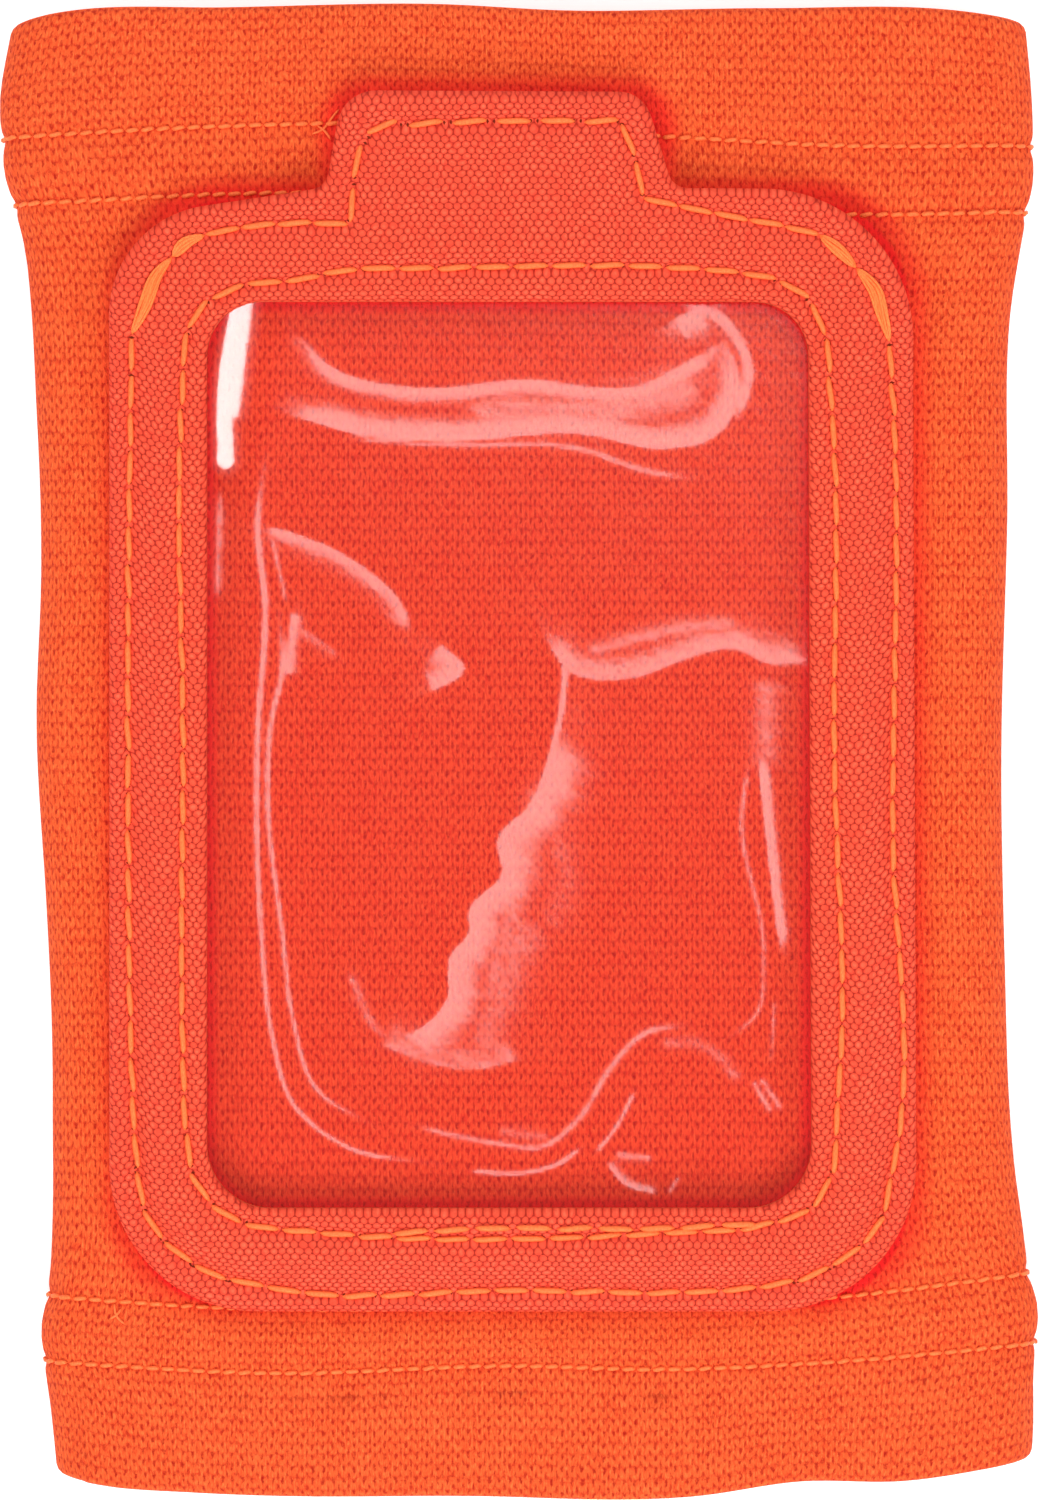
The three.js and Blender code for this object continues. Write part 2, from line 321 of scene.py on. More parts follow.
def painted_laminate_shadow(s):
    """How strongly the knit is painted with the laminate's shadow in deep red: under the laminate, beside it,
    and inside the window.
    """
    place = s.place()
    window = rounded_box(s, place, WINDOW_BOX, 8.0)
    edge = s.math("MINIMUM", rounded_box(s, place, FRAME_BOX, 15.0), rounded_box(s, place, TAB_BOX, 5.0))
    _, y, z = s.split(place)
    # painted shadow on the knit under the laminate along the window's edge
    under = s.math("MULTIPLY", s.between(window, -3.4, 0.3), s.between(edge, -1.0, 0.5, 1.0, 0.0))
    # the painted shadow beside the laminate is strongest at the free mouth, weaker down the sides and weakest
    # at the foot
    at_mouth = s.math("MULTIPLY", s.between(y, 0.060, 0.076), 0.8)
    strength = s.math("MAXIMUM", at_mouth, s.between(y, -0.079, -0.070, 0.15, 0.55))
    beside = s.product(s.between(edge, 0.0, 3.6, 1.0, 0.0), s.between(edge, -4.5, -0.5), strength)
    # painted shade on the knit just inside the window's edge
    painted_window_shade = s.between(window, -2.0, 0.5, 0.42, 0.0)
    shade = s.math("MAXIMUM", s.math("MAXIMUM", under, beside), painted_window_shade)
    return s.math("MULTIPLY", shade, s.between(z, 0.0075, 0.0090))       # on the front only


def knit_material():
    """Double-knit jersey: leaning strands that meet in Vs, with a small dark gap where four stitches meet."""
    base, dark, light = rgb(0.66, 0.086, 0.019), rgb(0.42, 0.015, 0.006), rgb(0.83, 0.162, 0.040)
    darkest = rgb(0.3024, 0.00375, 0.003)
    s = Shader("knit_jersey")
    uv = s.uv()
    shifted = s.vector("ADD", uv, s.jitter(uv, 0.55, 2.0, (0.55, 0.45)))
    shifted = s.vector("ADD", shifted, s.jitter(uv, 1.7, 1.0, (0.35, 0.45)))
    x, y, _ = s.split(shifted)
    lean = s.math("MULTIPLY", s.math("PINGPONG", x, 0.5), 2.0)
    strand = s.math("FRACT", s.math("SUBTRACT", y, s.math("MULTIPLY", lean, 0.5)))
    to_crease = s.math("PINGPONG", strand, 0.5)
    valley = s.between(lean, 0.04, 0.42, 1.0, 0.0)         # where two wales meet
    spine = s.between(lean, 0.66, 0.96)                    # the middle of a wale
    knot = s.math("MULTIPLY", s.between(to_crease, 0.14, 0.40, 1.0, 0.0), valley)
    slit = s.math("MULTIPLY", s.between(to_crease, 0.18, 0.46, 1.0, 0.0), spine)
    crease = s.between(to_crease, 0.0, 0.19, 1.0, 0.0)
    streaks = s.noise(s.vector("MULTIPLY", uv, (5.2, 1.3, 1.0)), 1.0, 3.0, 0.8)
    fluff = s.noise(uv, 3.1, 3.0, 0.8)
    mottle = s.noise(uv, 0.30, 3.0, 0.6)
    uneven = s.between(fluff, 0.34, 0.64, 0.25, 0.95)
    hollow = s.math("MULTIPLY", uneven, s.math("MAXIMUM", knot, s.math("MULTIPLY", slit, 0.80)))
    height = s.math("SUBTRACT", 1.0, s.math("MAXIMUM", hollow, s.math("MULTIPLY", crease, 0.30)))
    toned = s.mix(s.math("MULTIPLY", crease, s.between(fluff, 0.3, 0.7, 0.35, 0.85)), base, dark)
    toned = s.mix(s.between(streaks, 0.33, 0.49, 0.80, 0.0), toned, dark)
    toned = s.mix(s.between(streaks, 0.50, 0.68, 0.0, 0.95), toned, light)
    toned = s.mix(s.between(mottle, 0.35, 0.7, 0.0, 0.20), toned, light)
    toned = s.mix(hollow, toned, darkest)
    relief = s.math("ADD", height, s.math("MULTIPLY", streaks, 0.5))
    # painted shadow of the laminate in deep red, darker still in the knit's hollows
    shade = painted_laminate_shadow(s)
    toned = s.mix(shade, toned, s.mix(hollow, rgb(0.76, 0.014, 0.014), rgb(0.40, 0.004, 0.006)))
    # the emission is a painted red glow that lifts the red in the knit's shadows, though the knit is no lamp
    return s.finish(s.principled(toned, 0.9, s.bump(relief, 0.0003, 0.7), sheen=0.08,
                                 sheen_roughness=0.5, specular=0.10, sheen_tint=rgb(1.0, 0.45, 0.25),
                                 glow=0.16, glow_color=PAINTED_RED_GLOW))


def frame_cloth_material():
    """Coated nylon: a close-packed weave of small round knops, with painted shade making the gaps between
    them duller and redder, and a painted highlight on their crowns.
    """
    s = Shader("coated_nylon")
    uv = s.uv()
    shifted = s.vector("ADD", uv, s.jitter(uv, 0.35, 2.0, (0.9, 0.6)))
    grain = s.noise(uv, 6.0, 2.0, 0.6)
    x, y, _ = s.split(shifted)

    def from_knop(shift):
        """The distance to the nearest of the knops that stand this far on from a cell's middle."""
        across = s.math("SUBTRACT", s.math("FRACT", s.math("ADD", x, shift)), 0.5)
        up = s.math("SUBTRACT", s.math("FRACT", s.math("ADD", y, shift)), 0.5)
        up = s.math("MULTIPLY", up, 1.55)
        return s.math("SQRT", s.math("ADD", s.math("POWER", across, 2.0), s.math("POWER", up, 2.0)))

    distance = s.math("MINIMUM", from_knop(0.0), from_knop(0.5))
    # the knops' shading is painted: darker in the gaps between them, with a painted highlight on each crown
    dome = s.between(distance, 0.37, 0.53, 1.0, 0.0)
    crown_highlight = s.between(distance, 0.05, 0.40, 1.0, 0.0)
    finer = s.noise(uv, 1.3, 1.0)
    cells = s.node("ShaderNodeTexWhiteNoise", {"Vector": s.vector("FLOOR", shifted, (0, 0, 0))},
                   noise_dimensions="2D").outputs["Value"]
    tone = s.math("ADD", s.math("MULTIPLY", cells, 0.25), s.math("MULTIPLY", grain, 0.5))
    gaps, tops = rgb(0.28, 0.010, 0.006), rgb(0.65, 0.061, 0.026)
    color = s.mix(dome, gaps, tops)
    color = s.mix(s.math("MULTIPLY", crown_highlight, s.between(tone, 0.25, 0.60, 0.2, 1.0)), color,
                  rgb(0.82, 0.132, 0.063))
    color = s.mix(s.between(finer, 0.35, 0.5, 0.35, 0.0), color, rgb(0.60, 0.030, 0.014))
    relief = s.math("ADD", dome, s.math("MULTIPLY", grain, 0.25))
    # the emission is a painted red glow that lifts the red in the cloth's shadows, though the cloth is no
    # lamp
    return s.finish(s.principled(color, 0.62, s.bump(relief, 0.00016, 0.8), specular=0.16,
                                 glow=0.13, glow_color=PAINTED_RED_GLOW))


def foam_material():
    s = Shader("laminate_foam")
    place = s.place()
    pores = s.noise(place, 2600.0, 3.0, 0.7)
    color = s.mix(s.between(pores, 0.35, 0.7), rgb(0.62, 0.06, 0.02), rgb(0.90, 0.15, 0.05))
    return s.finish(s.principled(color, 0.85, s.bump(pores, 0.0003, 0.7), specular=0.2))


def lining_material():
    """Warp-knit tricot: narrow upright ribs with a fine zigzag across them."""
    s = Shader("tricot_lining")
    x, y, _ = s.split(s.uv())
    rib = s.math("PINGPONG", s.math("MULTIPLY", x, 1.6), 0.5)
    zig = s.math("PINGPONG", s.math("ADD", s.math("MULTIPLY", y, 2.4), rib), 0.5)
    height = s.math("ADD", rib, s.math("MULTIPLY", zig, 0.5))
    color = s.mix(s.between(height, 0.1, 0.65), rgb(0.45, 0.03, 0.012), rgb(0.80, 0.09, 0.03))
    return s.finish(s.principled(color, 0.8, s.bump(height, 0.0002, 0.6), specular=0.2))


def thread_material(name, base):
    """Two-ply sewing thread: fine slanting fibres, paler and darker at random."""
    s = Shader(name)
    place = s.place()
    fibres = s.noise(s.vector("MULTIPLY", place, (1.0, 0.45, 1.0)), 5200.0, 3.0, 0.7)
    red, green, blue = base
    color = s.mix(s.between(fibres, 0.3, 0.7), rgb(red * 0.8, green * 0.6, blue * 0.55), rgb(*base))
    # the emission is a painted red glow that keeps the thread red in shadow, though the thread is no lamp
    return s.finish(s.principled(color, 0.55, s.bump(fibres, 0.00008, 0.5), specular=0.3,
                                 glow=0.05, glow_color=PAINTED_RED_GLOW))


def hole_material():
    s = Shader("needle_hole")
    depth = s.noise(s.place(), 900.0, 1.0)
    # the near-black colour is painted shade, standing in for the shade deep in each needle hole
    color = s.mix(depth, rgb(0.10, 0.008, 0.003), rgb(0.22, 0.02, 0.006))
    return s.finish(s.principled(color, 0.9, specular=0.1))


def elastic_material():
    s = Shader("woven_elastic")
    x, y, _ = s.split(s.uv())
    rib = s.math("PINGPONG", s.math("MULTIPLY", y, 1.2), 0.5)
    pick = s.math("PINGPONG", s.math("MULTIPLY", x, 1.5), 0.5)
    height = s.math("ADD", rib, s.math("MULTIPLY", pick, 0.4))
    color = s.mix(s.between(height, 0.1, 0.6), rgb(0.55, 0.52, 0.47), rgb(0.86, 0.84, 0.79))
    return s.finish(s.principled(color, 0.75, s.bump(height, 0.0003, 0.7)))


def patch_material(name, base):
    s = Shader(name)
    weave = s.noise(s.place(), 2200.0, 3.0, 0.7)
    color = s.mix(s.between(weave, 0.3, 0.7), rgb(*(c * 0.55 for c in base)), rgb(*base))
    return s.finish(s.principled(color, 0.7, s.bump(weave, 0.0003, 0.7), specular=0.3))


def film_material():
    """Clear vinyl: lets everything through but the glare on its own surface, which follows the creases."""
    s = Shader("clear_vinyl")
    facing = s.node("ShaderNodeAttribute", attribute_name="facing").outputs["Vector"]
    ripple = s.noise(s.place(), 420.0, 2.0)
    normal = s.bump(ripple, 0.0003, 0.12, facing)
    grazing = s.node("ShaderNodeLayerWeight", {"Blend": 0.5, "Normal": normal}).outputs["Facing"]
    share = s.math("ADD", s.math("MULTIPLY", s.math("POWER", grazing, 5.0), 0.9), 0.045)
    clear = s.node("ShaderNodeBsdfTransparent", {"Color": rgb(0.995, 0.95, 0.97)}).outputs[0]
    gloss = s.principled(rgb(1, 0.94, 0.90), 0.165, normal, metal=1.0)
    mixed = s.node("ShaderNodeMixShader", {"Fac": share, 1: clear, 2: gloss})
    return s.finish(mixed.outputs[0])


def floor_material():
    s = Shader("pale_floor")
    return s.finish(s.principled(rgb(0.93, 0.93, 0.93), 0.9, specular=0.1, glow=0.35,
                                 glow_color=rgb(1, 1, 1)))


KNIT = knit_material()
FRAME_CLOTH = frame_cloth_material()
FOAM = foam_material()
LINING = lining_material()
THREAD = thread_material("orange_thread", (0.98, 0.20, 0.045))
BRIGHT_THREAD = thread_material("backstitch_thread", (1.0, 0.235, 0.05))
HOLE = hole_material()
ELASTIC = elastic_material()
HOOK_TAPE = patch_material("hook_tape", (0.80, 0.09, 0.02))
LOOP_TAPE = patch_material("loop_tape", (0.85, 0.12, 0.03))
FILM = film_material()


# ---------------------------------------------------------------- the knitted tube

# how far the left and the right fold lie from the middle, along the band
LEFT_SIDE = curve_through([(-102, 64), (-90, 65), (-81, 66), (-68, 64.5), (-48, 64.5), (-20, 65.5), (4, 66.5),
                           (25, 66), (45, 66.5), (66, 68), (80, 71), (88, 71.5), (102, 70)])
RIGHT_SIDE = curve_through([(-102, 69), (-90, 70), (-81, 71), (-68, 69), (-46, 67), (-32, 66.5), (30, 66.5),
                            (62, 67.5), (77, 70), (102, 69)])
# where the ends and the hem rows lie, across the band
TOP_EDGE = curve_through([(-71, 99), (-65, 100.5), (-40, 101.5), (-12, 102), (8, 101), (34, 101.5), (60, 101),
                          (70, 99.5)])
BOTTOM_EDGE = curve_through([(-66, -98.5), (-57, -100.5), (-45, -101.5), (-6, -102), (24, -102), (38, -100),
                             (52, -100), (70, -97)])
TOP_OUTER_LINE = curve_through([(-71, 83.5), (-44, 85), (-25, 85.5), (23, 83.5), (42, 82.5), (70, 82.5)])
TOP_INNER_LINE = curve_through([(-69, 74.5), (-30, 76), (0, 75), (46, 73), (69, 73.5)])
BOTTOM_INNER_LINE = curve_through([(-65, -74.5), (-42, -76), (0, -76), (44, -74.5), (69, -71.5)])
BOTTOM_OUTER_LINE = curve_through([(-65, -83.5), (-33, -85), (0, -84), (19, -84.5), (42, -83.5), (70, -81)])


def level(height):
    """A line straight across the band."""
    return lambda x: 0 * x + height


# every line across the band: its height on the plain tube, and the one it really follows
LINES = [(-BAND_END, BOTTOM_EDGE), (BOTTOM_OUTER, BOTTOM_OUTER_LINE), (BOTTOM_INNER, BOTTOM_INNER_LINE),
         (-50.0, level(-50.0)), (50.0, level(50.0)), (TOP_INNER, TOP_INNER_LINE),
         (TOP_OUTER, TOP_OUTER_LINE), (BAND_END, TOP_EDGE)]

# the tube's section: flat on top, a half circle at each side, flat below
FLAT_LENGTH = 2 * STRAIGHT
ARC_LENGTH = math.pi * SIDE_RADIUS
GIRTH = 2 * (FLAT_LENGTH + ARC_LENGTH)


def section(s, inset):
    """(x, z, normal x, normal z) at a distance s round the tube, from the top left, across the top first."""
    s = np.mod(np.asarray(s, float), GIRTH)
    radius = SIDE_RADIUS - inset
    on_top, on_right = s < FLAT_LENGTH, s < FLAT_LENGTH + ARC_LENGTH
    stretches = [on_top, on_right, s < 2 * FLAT_LENGTH + ARC_LENGTH]
    turn = np.select(stretches, [0 * s, (s - FLAT_LENGTH) / SIDE_RADIUS, 0 * s + math.pi],
                     math.pi + (s - 2 * FLAT_LENGTH - ARC_LENGTH) / SIDE_RADIUS)
    centre = np.select(stretches, [s - STRAIGHT, 0 * s + STRAIGHT, STRAIGHT - (s - FLAT_LENGTH - ARC_LENGTH)],
                       0 * s - STRAIGHT)
    nx, nz = np.sin(turn), np.cos(turn)
    return centre + radius * nx, SIDE_RADIUS + radius * nz, nx, nz


def pucker(x, s, y):
    """How far the cloth stands out of the plain tube: drawn in along the rows, rippled beside them."""
    out = 0 * x
    for k, (_, _, row) in enumerate(HEM_ROWS):
        near = bell(y - row, 2.6)
        out -= 0.42 * bell(y - row, 1.1)
        out += near * 0.16 * np.sin(2 * math.pi * s / (6.3 + 0.4 * k) + 1.7 * k + 1.1 * np.sin(s / 11))
    for row_a, row_b in ((TOP_INNER, TOP_OUTER), (BOTTOM_OUTER, BOTTOM_INNER)):
        out += 0.30 * bell(y - (row_a + row_b) / 2, 2.8)
    header = smooth_step(np.abs(y), 84, 100)
    out += header * (0.45 * np.sin(s / 9.5 + 0.6) + 0.30 * np.sin(s / 5.1 + y / 20))
    slack = smooth_step(np.abs(y), 58, 72)
    out += slack * 0.22 * np.sin(s / 7.3 + y / 6)
    out += 0.25 * (1 - slack) * np.sin(y / 12.5 + x / 31) * np.cos(x / 17 - y / 40) - 0.15
    return out


def tube_points(s, y, inset):
    """The tube's surface, inset below its outside, as an array of points; s and y are equal-length arrays."""
    x, z, nx, nz = section(s, inset)
    push = pucker(x, s, y)
    x, z = x + push * nx, z + push * nz
    side = np.where(x > 0, RIGHT_SIDE(y), LEFT_SIDE(y)) / (MIDDLE_WIDTH / 2)
    x = x * (1 + (side - 1) * smooth_step(np.abs(x), 20, 66))
    moved = np.zeros_like(y)
    for (y0, line0), (y1, line1) in zip(LINES, LINES[1:]):
        t = (y - y0) / (y1 - y0)
        here = (t >= 0) & (t <= 1)
        moved[here] = ((1 - t) * (line0(x) - y0) + t * (line1(x) - y1))[here]
    return np.stack([x, y + moved, np.maximum(z, 0.04 + inset)], 1)


def ring_mesh(name, loop, material, columns, scale=(WALE, COURSE)):
    """Sweeps a closed loop of (y, inset) pairs round the tube."""
    rows = len(loop)
    s = np.linspace(0, GIRTH, columns, endpoint=False)
    grid_s = np.repeat(s, rows)
    grid_y = np.tile(loop[:, 0], columns)
    verts = tube_points(grid_s, grid_y, np.tile(loop[:, 1], columns))
    along = np.r_[0, np.cumsum(np.linalg.norm(np.diff(closed(loop), axis=0), axis=1))]
    faces, uv = [], []
    for i in range(columns):
        for j in range(rows):
            i2, j2 = (i + 1) % columns, (j + 1) % rows
            faces.append((i * rows + j, i2 * rows + j, i2 * rows + j2, i * rows + j2))
            u0, u1 = (GIRTH * k / columns / scale[0] for k in (i, i + 1))
            v0, v1 = along[j] / scale[1], along[j + 1] / scale[1]
            uv += [(u0, v0), (u1, v0), (u1, v1), (u0, v1)]
    return mesh_object(name, verts, faces, material, uv)


def half_turn(y, end, low, high, steps):
    """Points of a fold in the (y, inset) plane, from inset low to inset high."""
    middle, radius = (low + high) / 2, (high - low) / 2
    angles = np.linspace(-math.pi / 2, math.pi / 2, steps)
    return np.stack([y + end * radius * np.cos(angles), middle + radius * np.sin(angles)], 1)


def knit_loop():
    """Outline of the cloth along the tube: one layer, turned in at both ends to make the hems."""
    outside = np.unique(np.concatenate(
        [np.arange(-99, 99.1, 3.0)]
        + [np.arange(row - 3.5, row + 3.6, 0.7) for _, _, row in HEM_ROWS]))
    skin, facing = 0.05, 2.0
    plain = np.arange(-97, 97.1, 6.0)
    facing_top = np.arange(BAND_END - 4, TOP_INNER - 2.2, -4.0)
    facing_bottom = -np.arange(BAND_END - 4, -BOTTOM_INNER - 2.2, -4.0)
    fold = BAND_END - 1.5

    def line(ys, inset):
        return np.stack([ys, 0 * ys + inset], 1)

    return np.vstack([
        line(outside, skin),
        half_turn(fold, 1, skin, facing + CLOTH, 7),
        line(facing_top, facing + CLOTH),
        line(facing_top[::-1], facing),
        half_turn(fold - 0.4, 1, skin + CLOTH, facing, 5)[::-1],
        line(plain[::-1], skin + CLOTH),
        half_turn(-fold + 0.4, -1, skin + CLOTH, facing, 5),
        line(facing_bottom, facing),
        line(facing_bottom[::-1], facing + CLOTH),
        half_turn(-fold, -1, skin, facing + CLOTH, 7)[::-1],
    ])


KNIT_LOOP = knit_loop()
band = ring_mesh("knitted_tube", KNIT_LOOP, KNIT, 190)


def elastic_tape(name, row_a, row_b):
    """A flat tape right round the tube, in the casing between two rows of stitches."""
    clear, outside, inside = 0.8, 1.15, 1.85
    ys = np.linspace(min(row_a, row_b) + clear, max(row_a, row_b) - clear, 7)
    loop = np.vstack([np.stack([ys, 0 * ys + outside], 1), np.stack([ys[::-1], 0 * ys + inside], 1)])
    return ring_mesh(name, loop, ELASTIC, 140, (1.0, 1.0))


top_elastic = elastic_tape("top_elastic_tape", TOP_OUTER, TOP_INNER)
bottom_elastic = elastic_tape("bottom_elastic_tape", BOTTOM_OUTER, BOTTOM_INNER)


# ---------------------------------------------------------------- the foam laminate: frame, rim and tab

# corners of the laminate and of its window: x, y and the radius they are cut to
FRAME_CORNERS = [(-56.1, face_low[1], 20), (53.8, face_low[1], 20), (53.2, SHOULDER + 0.4, 20.5),
                 (20.6, SHOULDER + 0.6, 2.5), (16.6, tab_high[1] - 0.2, 4.6), (-24.3, tab_high[1], 5.4),
                 (-26.6, SHOULDER + 0.7, 2.5), (-56.1, SHOULDER - 3.8, 15)]
WINDOW_CORNERS = [(film_low[0] + FILM_MARGIN, film_low[1] + FILM_MARGIN, 8.6),
                  (film_high[0] - FILM_MARGIN + 0.3, film_low[1] + FILM_MARGIN, 8.6),
                  (film_high[0] - FILM_MARGIN - 0.2, film_high[1] - FILM_MARGIN, 7.4),
                  (film_low[0] + FILM_MARGIN, film_high[1] - FILM_MARGIN, 7.4)]
# the stretches of the outer row of stitches, sewn one after another, and the row round the window
RIGHT_SHOULDER = [(16.5, 75), (26, 73), (36.5, 71), (40.5, 70)]
RIGHT_TACK = [(40.5, 70), (43, 68), (45.5, 65.5), (48, 62.5), (49, 59), (50, 55.5)]
AROUND_FOOT = [(50, 55.5), (50.5, 48), (50.5, -10), (50.5, -57), (48.5, -64.5), (41.5, -70.5), (32.5, -73),
               (27, -73.5), (0, -73.5), (-34.5, -73), (-43.5, -70.5), (-50.5, -64), (-52.5, -54), (-53, -44),
               (-53.5, -10), (-53.5, 20), (-53, 56.5)]
LEFT_TACK = [(-53, 56.5), (-51, 61), (-49.5, 64.5), (-47.5, 67), (-45.5, 69), (-43, 70)]
LEFT_SHOULDER = [(-43, 70), (-38, 71), (-33, 71.5), (-23.5, 71.5)]
TAB_SIDE_AND_TOP = [(-23.5, 71.5), (-23, 74.5), (-22, 81), (-19.5, 84.5), (-15, 85), (0, 85.5), (13.5, 85.5)]
TAB_OTHER_SIDE = [(13.5, 85.5), (15.5, 80), (16.5, 75)]
SEWN_TWICE = [(-15, -65.5), (-5, -65), (18, -65), (29.5, -64.5)]
AROUND_WINDOW = [(-46, 0), (-46, 50), (-45.5, 56), (-43.5, 60), (-39.5, 62.5), (-30, 64), (-25, 65),
                 (-10, 65.5), (22, 65.5), (28.5, 65), (34, 64), (38, 62), (41, 57), (42, 48), (42.5, 0),
                 (43, -47), (41.5, -59), (39.5, -62), (35, -64), (30, -65), (22, -65.5), (-28, -65.5),
                 (-36.5, -64.5), (-41, -62.5), (-44, -59), (-45.5, -52.5), (-46, -41), (-46, 0)]


def outline(corners, inset, step):
    """Points round an anticlockwise outline with rounded corners, moved inwards by inset."""
    points = np.array([c[:2] for c in corners], float)
    found = []
    for i, (_, _, radius) in enumerate(corners):
        before = points[i] - points[i - 1]
        after = points[(i + 1) % len(points)] - points[i]
        before, after = before / np.linalg.norm(before), after / np.linalg.norm(after)
        side = math.copysign(1, before[0] * after[1] - before[1] * after[0])
        half = math.acos(np.clip(before @ after, -1, 1)) / 2
        bisector = np.array([-before[1] - after[1], before[0] + after[0]])
        bisector /= np.linalg.norm(bisector)
        r = max(radius - side * inset, 0.2)
        centre = points[i] + bisector * (inset + side * r) / math.cos(half)
        start = math.atan2(-side * before[0], side * before[1])
        turns = np.linspace(start, start + 2 * side * half, max(3, int(2 * half * r / step) + 2))
        found.append(centre + r * np.stack([np.cos(turns), np.sin(turns)], 1))
    return even(closed(np.vstack(found)), step)[:-1]


EDGE_STEP = 0.8
OUTER_EDGE = outline(FRAME_CORNERS, 0, EDGE_STEP)
WINDOW_EDGE = outline(WINDOW_CORNERS, 0, EDGE_STEP)
OUTER_ROW_LINE = np.vstack([spline(part, 0.9)[:-1] for part in (
    RIGHT_SHOULDER, RIGHT_TACK, AROUND_FOOT, LEFT_TACK, LEFT_SHOULDER, TAB_SIDE_AND_TOP, TAB_OTHER_SIDE)])
WINDOW_ROW_LINE = spline(AROUND_WINDOW, 0.9)[:-1]


def beside(line, offset):
    """A closed line's neighbour, a small distance to its left."""
    along = np.roll(line, -1, axis=0) - np.roll(line, 1, axis=0)
    along /= np.linalg.norm(along, axis=1)[:, None]
    return line + offset * np.stack([-along[:, 1], along[:, 0]], 1)


def in_outline(points, line):
    inside = np.zeros(len(points), bool)
    for (x0, y0), (x1, y1) in zip(line, np.roll(line, -1, axis=0)):
        crosses = (y0 > points[:, 1]) != (y1 > points[:, 1])
        at = (x1 - x0) * (points[:, 1] - y0) / (y1 - y0 + 1e-12) + x0
        inside ^= crosses & (points[:, 0] < at)
    return inside


def plate_plan():
    """The laminate's flat plan as triangles, finest beside its edges and its rows of stitches."""
    rings = [outline(FRAME_CORNERS, d, EDGE_STEP) for d in (0, 0.2, 0.5, 1.0)]
    rings += [outline(WINDOW_CORNERS, -d, EDGE_STEP) for d in (0, 0.2, 0.5, 1.0)]
    rings += [beside(row, d) for row in (OUTER_ROW_LINE, WINDOW_ROW_LINE) for d in (-0.8, -0.4, 0, 0.4, 0.8)]
    across, up = 1.4, 1.2
    lattice = np.array([(x + (row % 2) * across / 2, y) for row, y in enumerate(np.arange(-80, 92, up))
                        for x in np.arange(-60, 60, across)])
    lattice = lattice[in_outline(lattice, OUTER_EDGE) & ~in_outline(lattice, WINDOW_EDGE)]
    for ring, clear in ((OUTER_EDGE, 1.5), (WINDOW_EDGE, 1.5), (OUTER_ROW_LINE, 1.3), (WINDOW_ROW_LINE, 1.3)):
        lattice = lattice[distance_round(lattice, ring) > clear]
    lattice = lattice[np.abs(lattice[:, 1] - SPLIT) > 0.5]
    cut_xs = np.arange(-60, 61, 1.0)
    cut = np.stack([cut_xs, 0 * cut_xs + SPLIT], 1)
    points, edges = [], []
    for ring in rings:
        first = sum(len(p) for p in points)
        edges += [(first + i, first + (i + 1) % len(ring)) for i in range(len(ring))]
        points.append(ring)
    first = sum(len(p) for p in points)
    edges += [(first + i, first + i + 1) for i in range(len(cut) - 1)]
    points += [cut, lattice]
    flat = [Vector(p) for p in np.vstack(points)]
    verts, _, faces, *_ = geometry.delaunay_2d_cdt(flat, edges, [], 0, 1e-4)
    verts = np.array([tuple(v) for v in verts])
    faces = np.array([tuple(f) for f in faces])
    middle = verts[faces].mean(axis=1)
    keep = in_outline(middle, OUTER_EDGE) & ~in_outline(middle, WINDOW_EDGE)
    return verts, faces[keep]


SPLIT = RIM_FOLD + 1.5      # the two pieces of each layer meet here
PLAN_VERTS, PLAN_FACES = plate_plan()


# how far the face is rounded off at its cut edges, pulled in by its rows of stitches and pillowed beside them
EDGE_ROUNDING, ROW_DEPTH, PILLOW = 0.75, 0.5, 0.2
SEWN_DROP = 1.3


def laminate_drop(points):
    """How far the whole laminate comes down to the knit where it is sewn on, along its sides and its foot."""
    from_edge = distance_round(points, OUTER_EDGE)
    sewn = 1 - smooth_step(points[:, 1], RIM_FOLD - 24, RIM_FOLD - 8)
    return -SEWN_DROP * (1 - smooth_step(from_edge, 3.0, 7.5)) * sewn


def laminate_rise(points):
    """How far the laminate's face stands above or below its flat height at each point of the plan."""
    rise = 0.12 * np.sin(points[:, 0] / 13 + 1) * np.sin(points[:, 1] / 17)
    for edge in (OUTER_EDGE, WINDOW_EDGE):
        rise -= EDGE_ROUNDING * np.exp(-distance_round(points, edge) / 0.5)
    for row in (OUTER_ROW_LINE, WINDOW_ROW_LINE):
        away = distance_round(points, row)
        rise += PILLOW * bell(away - 2.4, 1.6) - ROW_DEPTH * bell(away, 0.7)
    return rise


PLAN_RISE = laminate_rise(PLAN_VERTS)
PLAN_DROP = laminate_drop(PLAN_VERTS)
FACE_TOP = face_high[2]


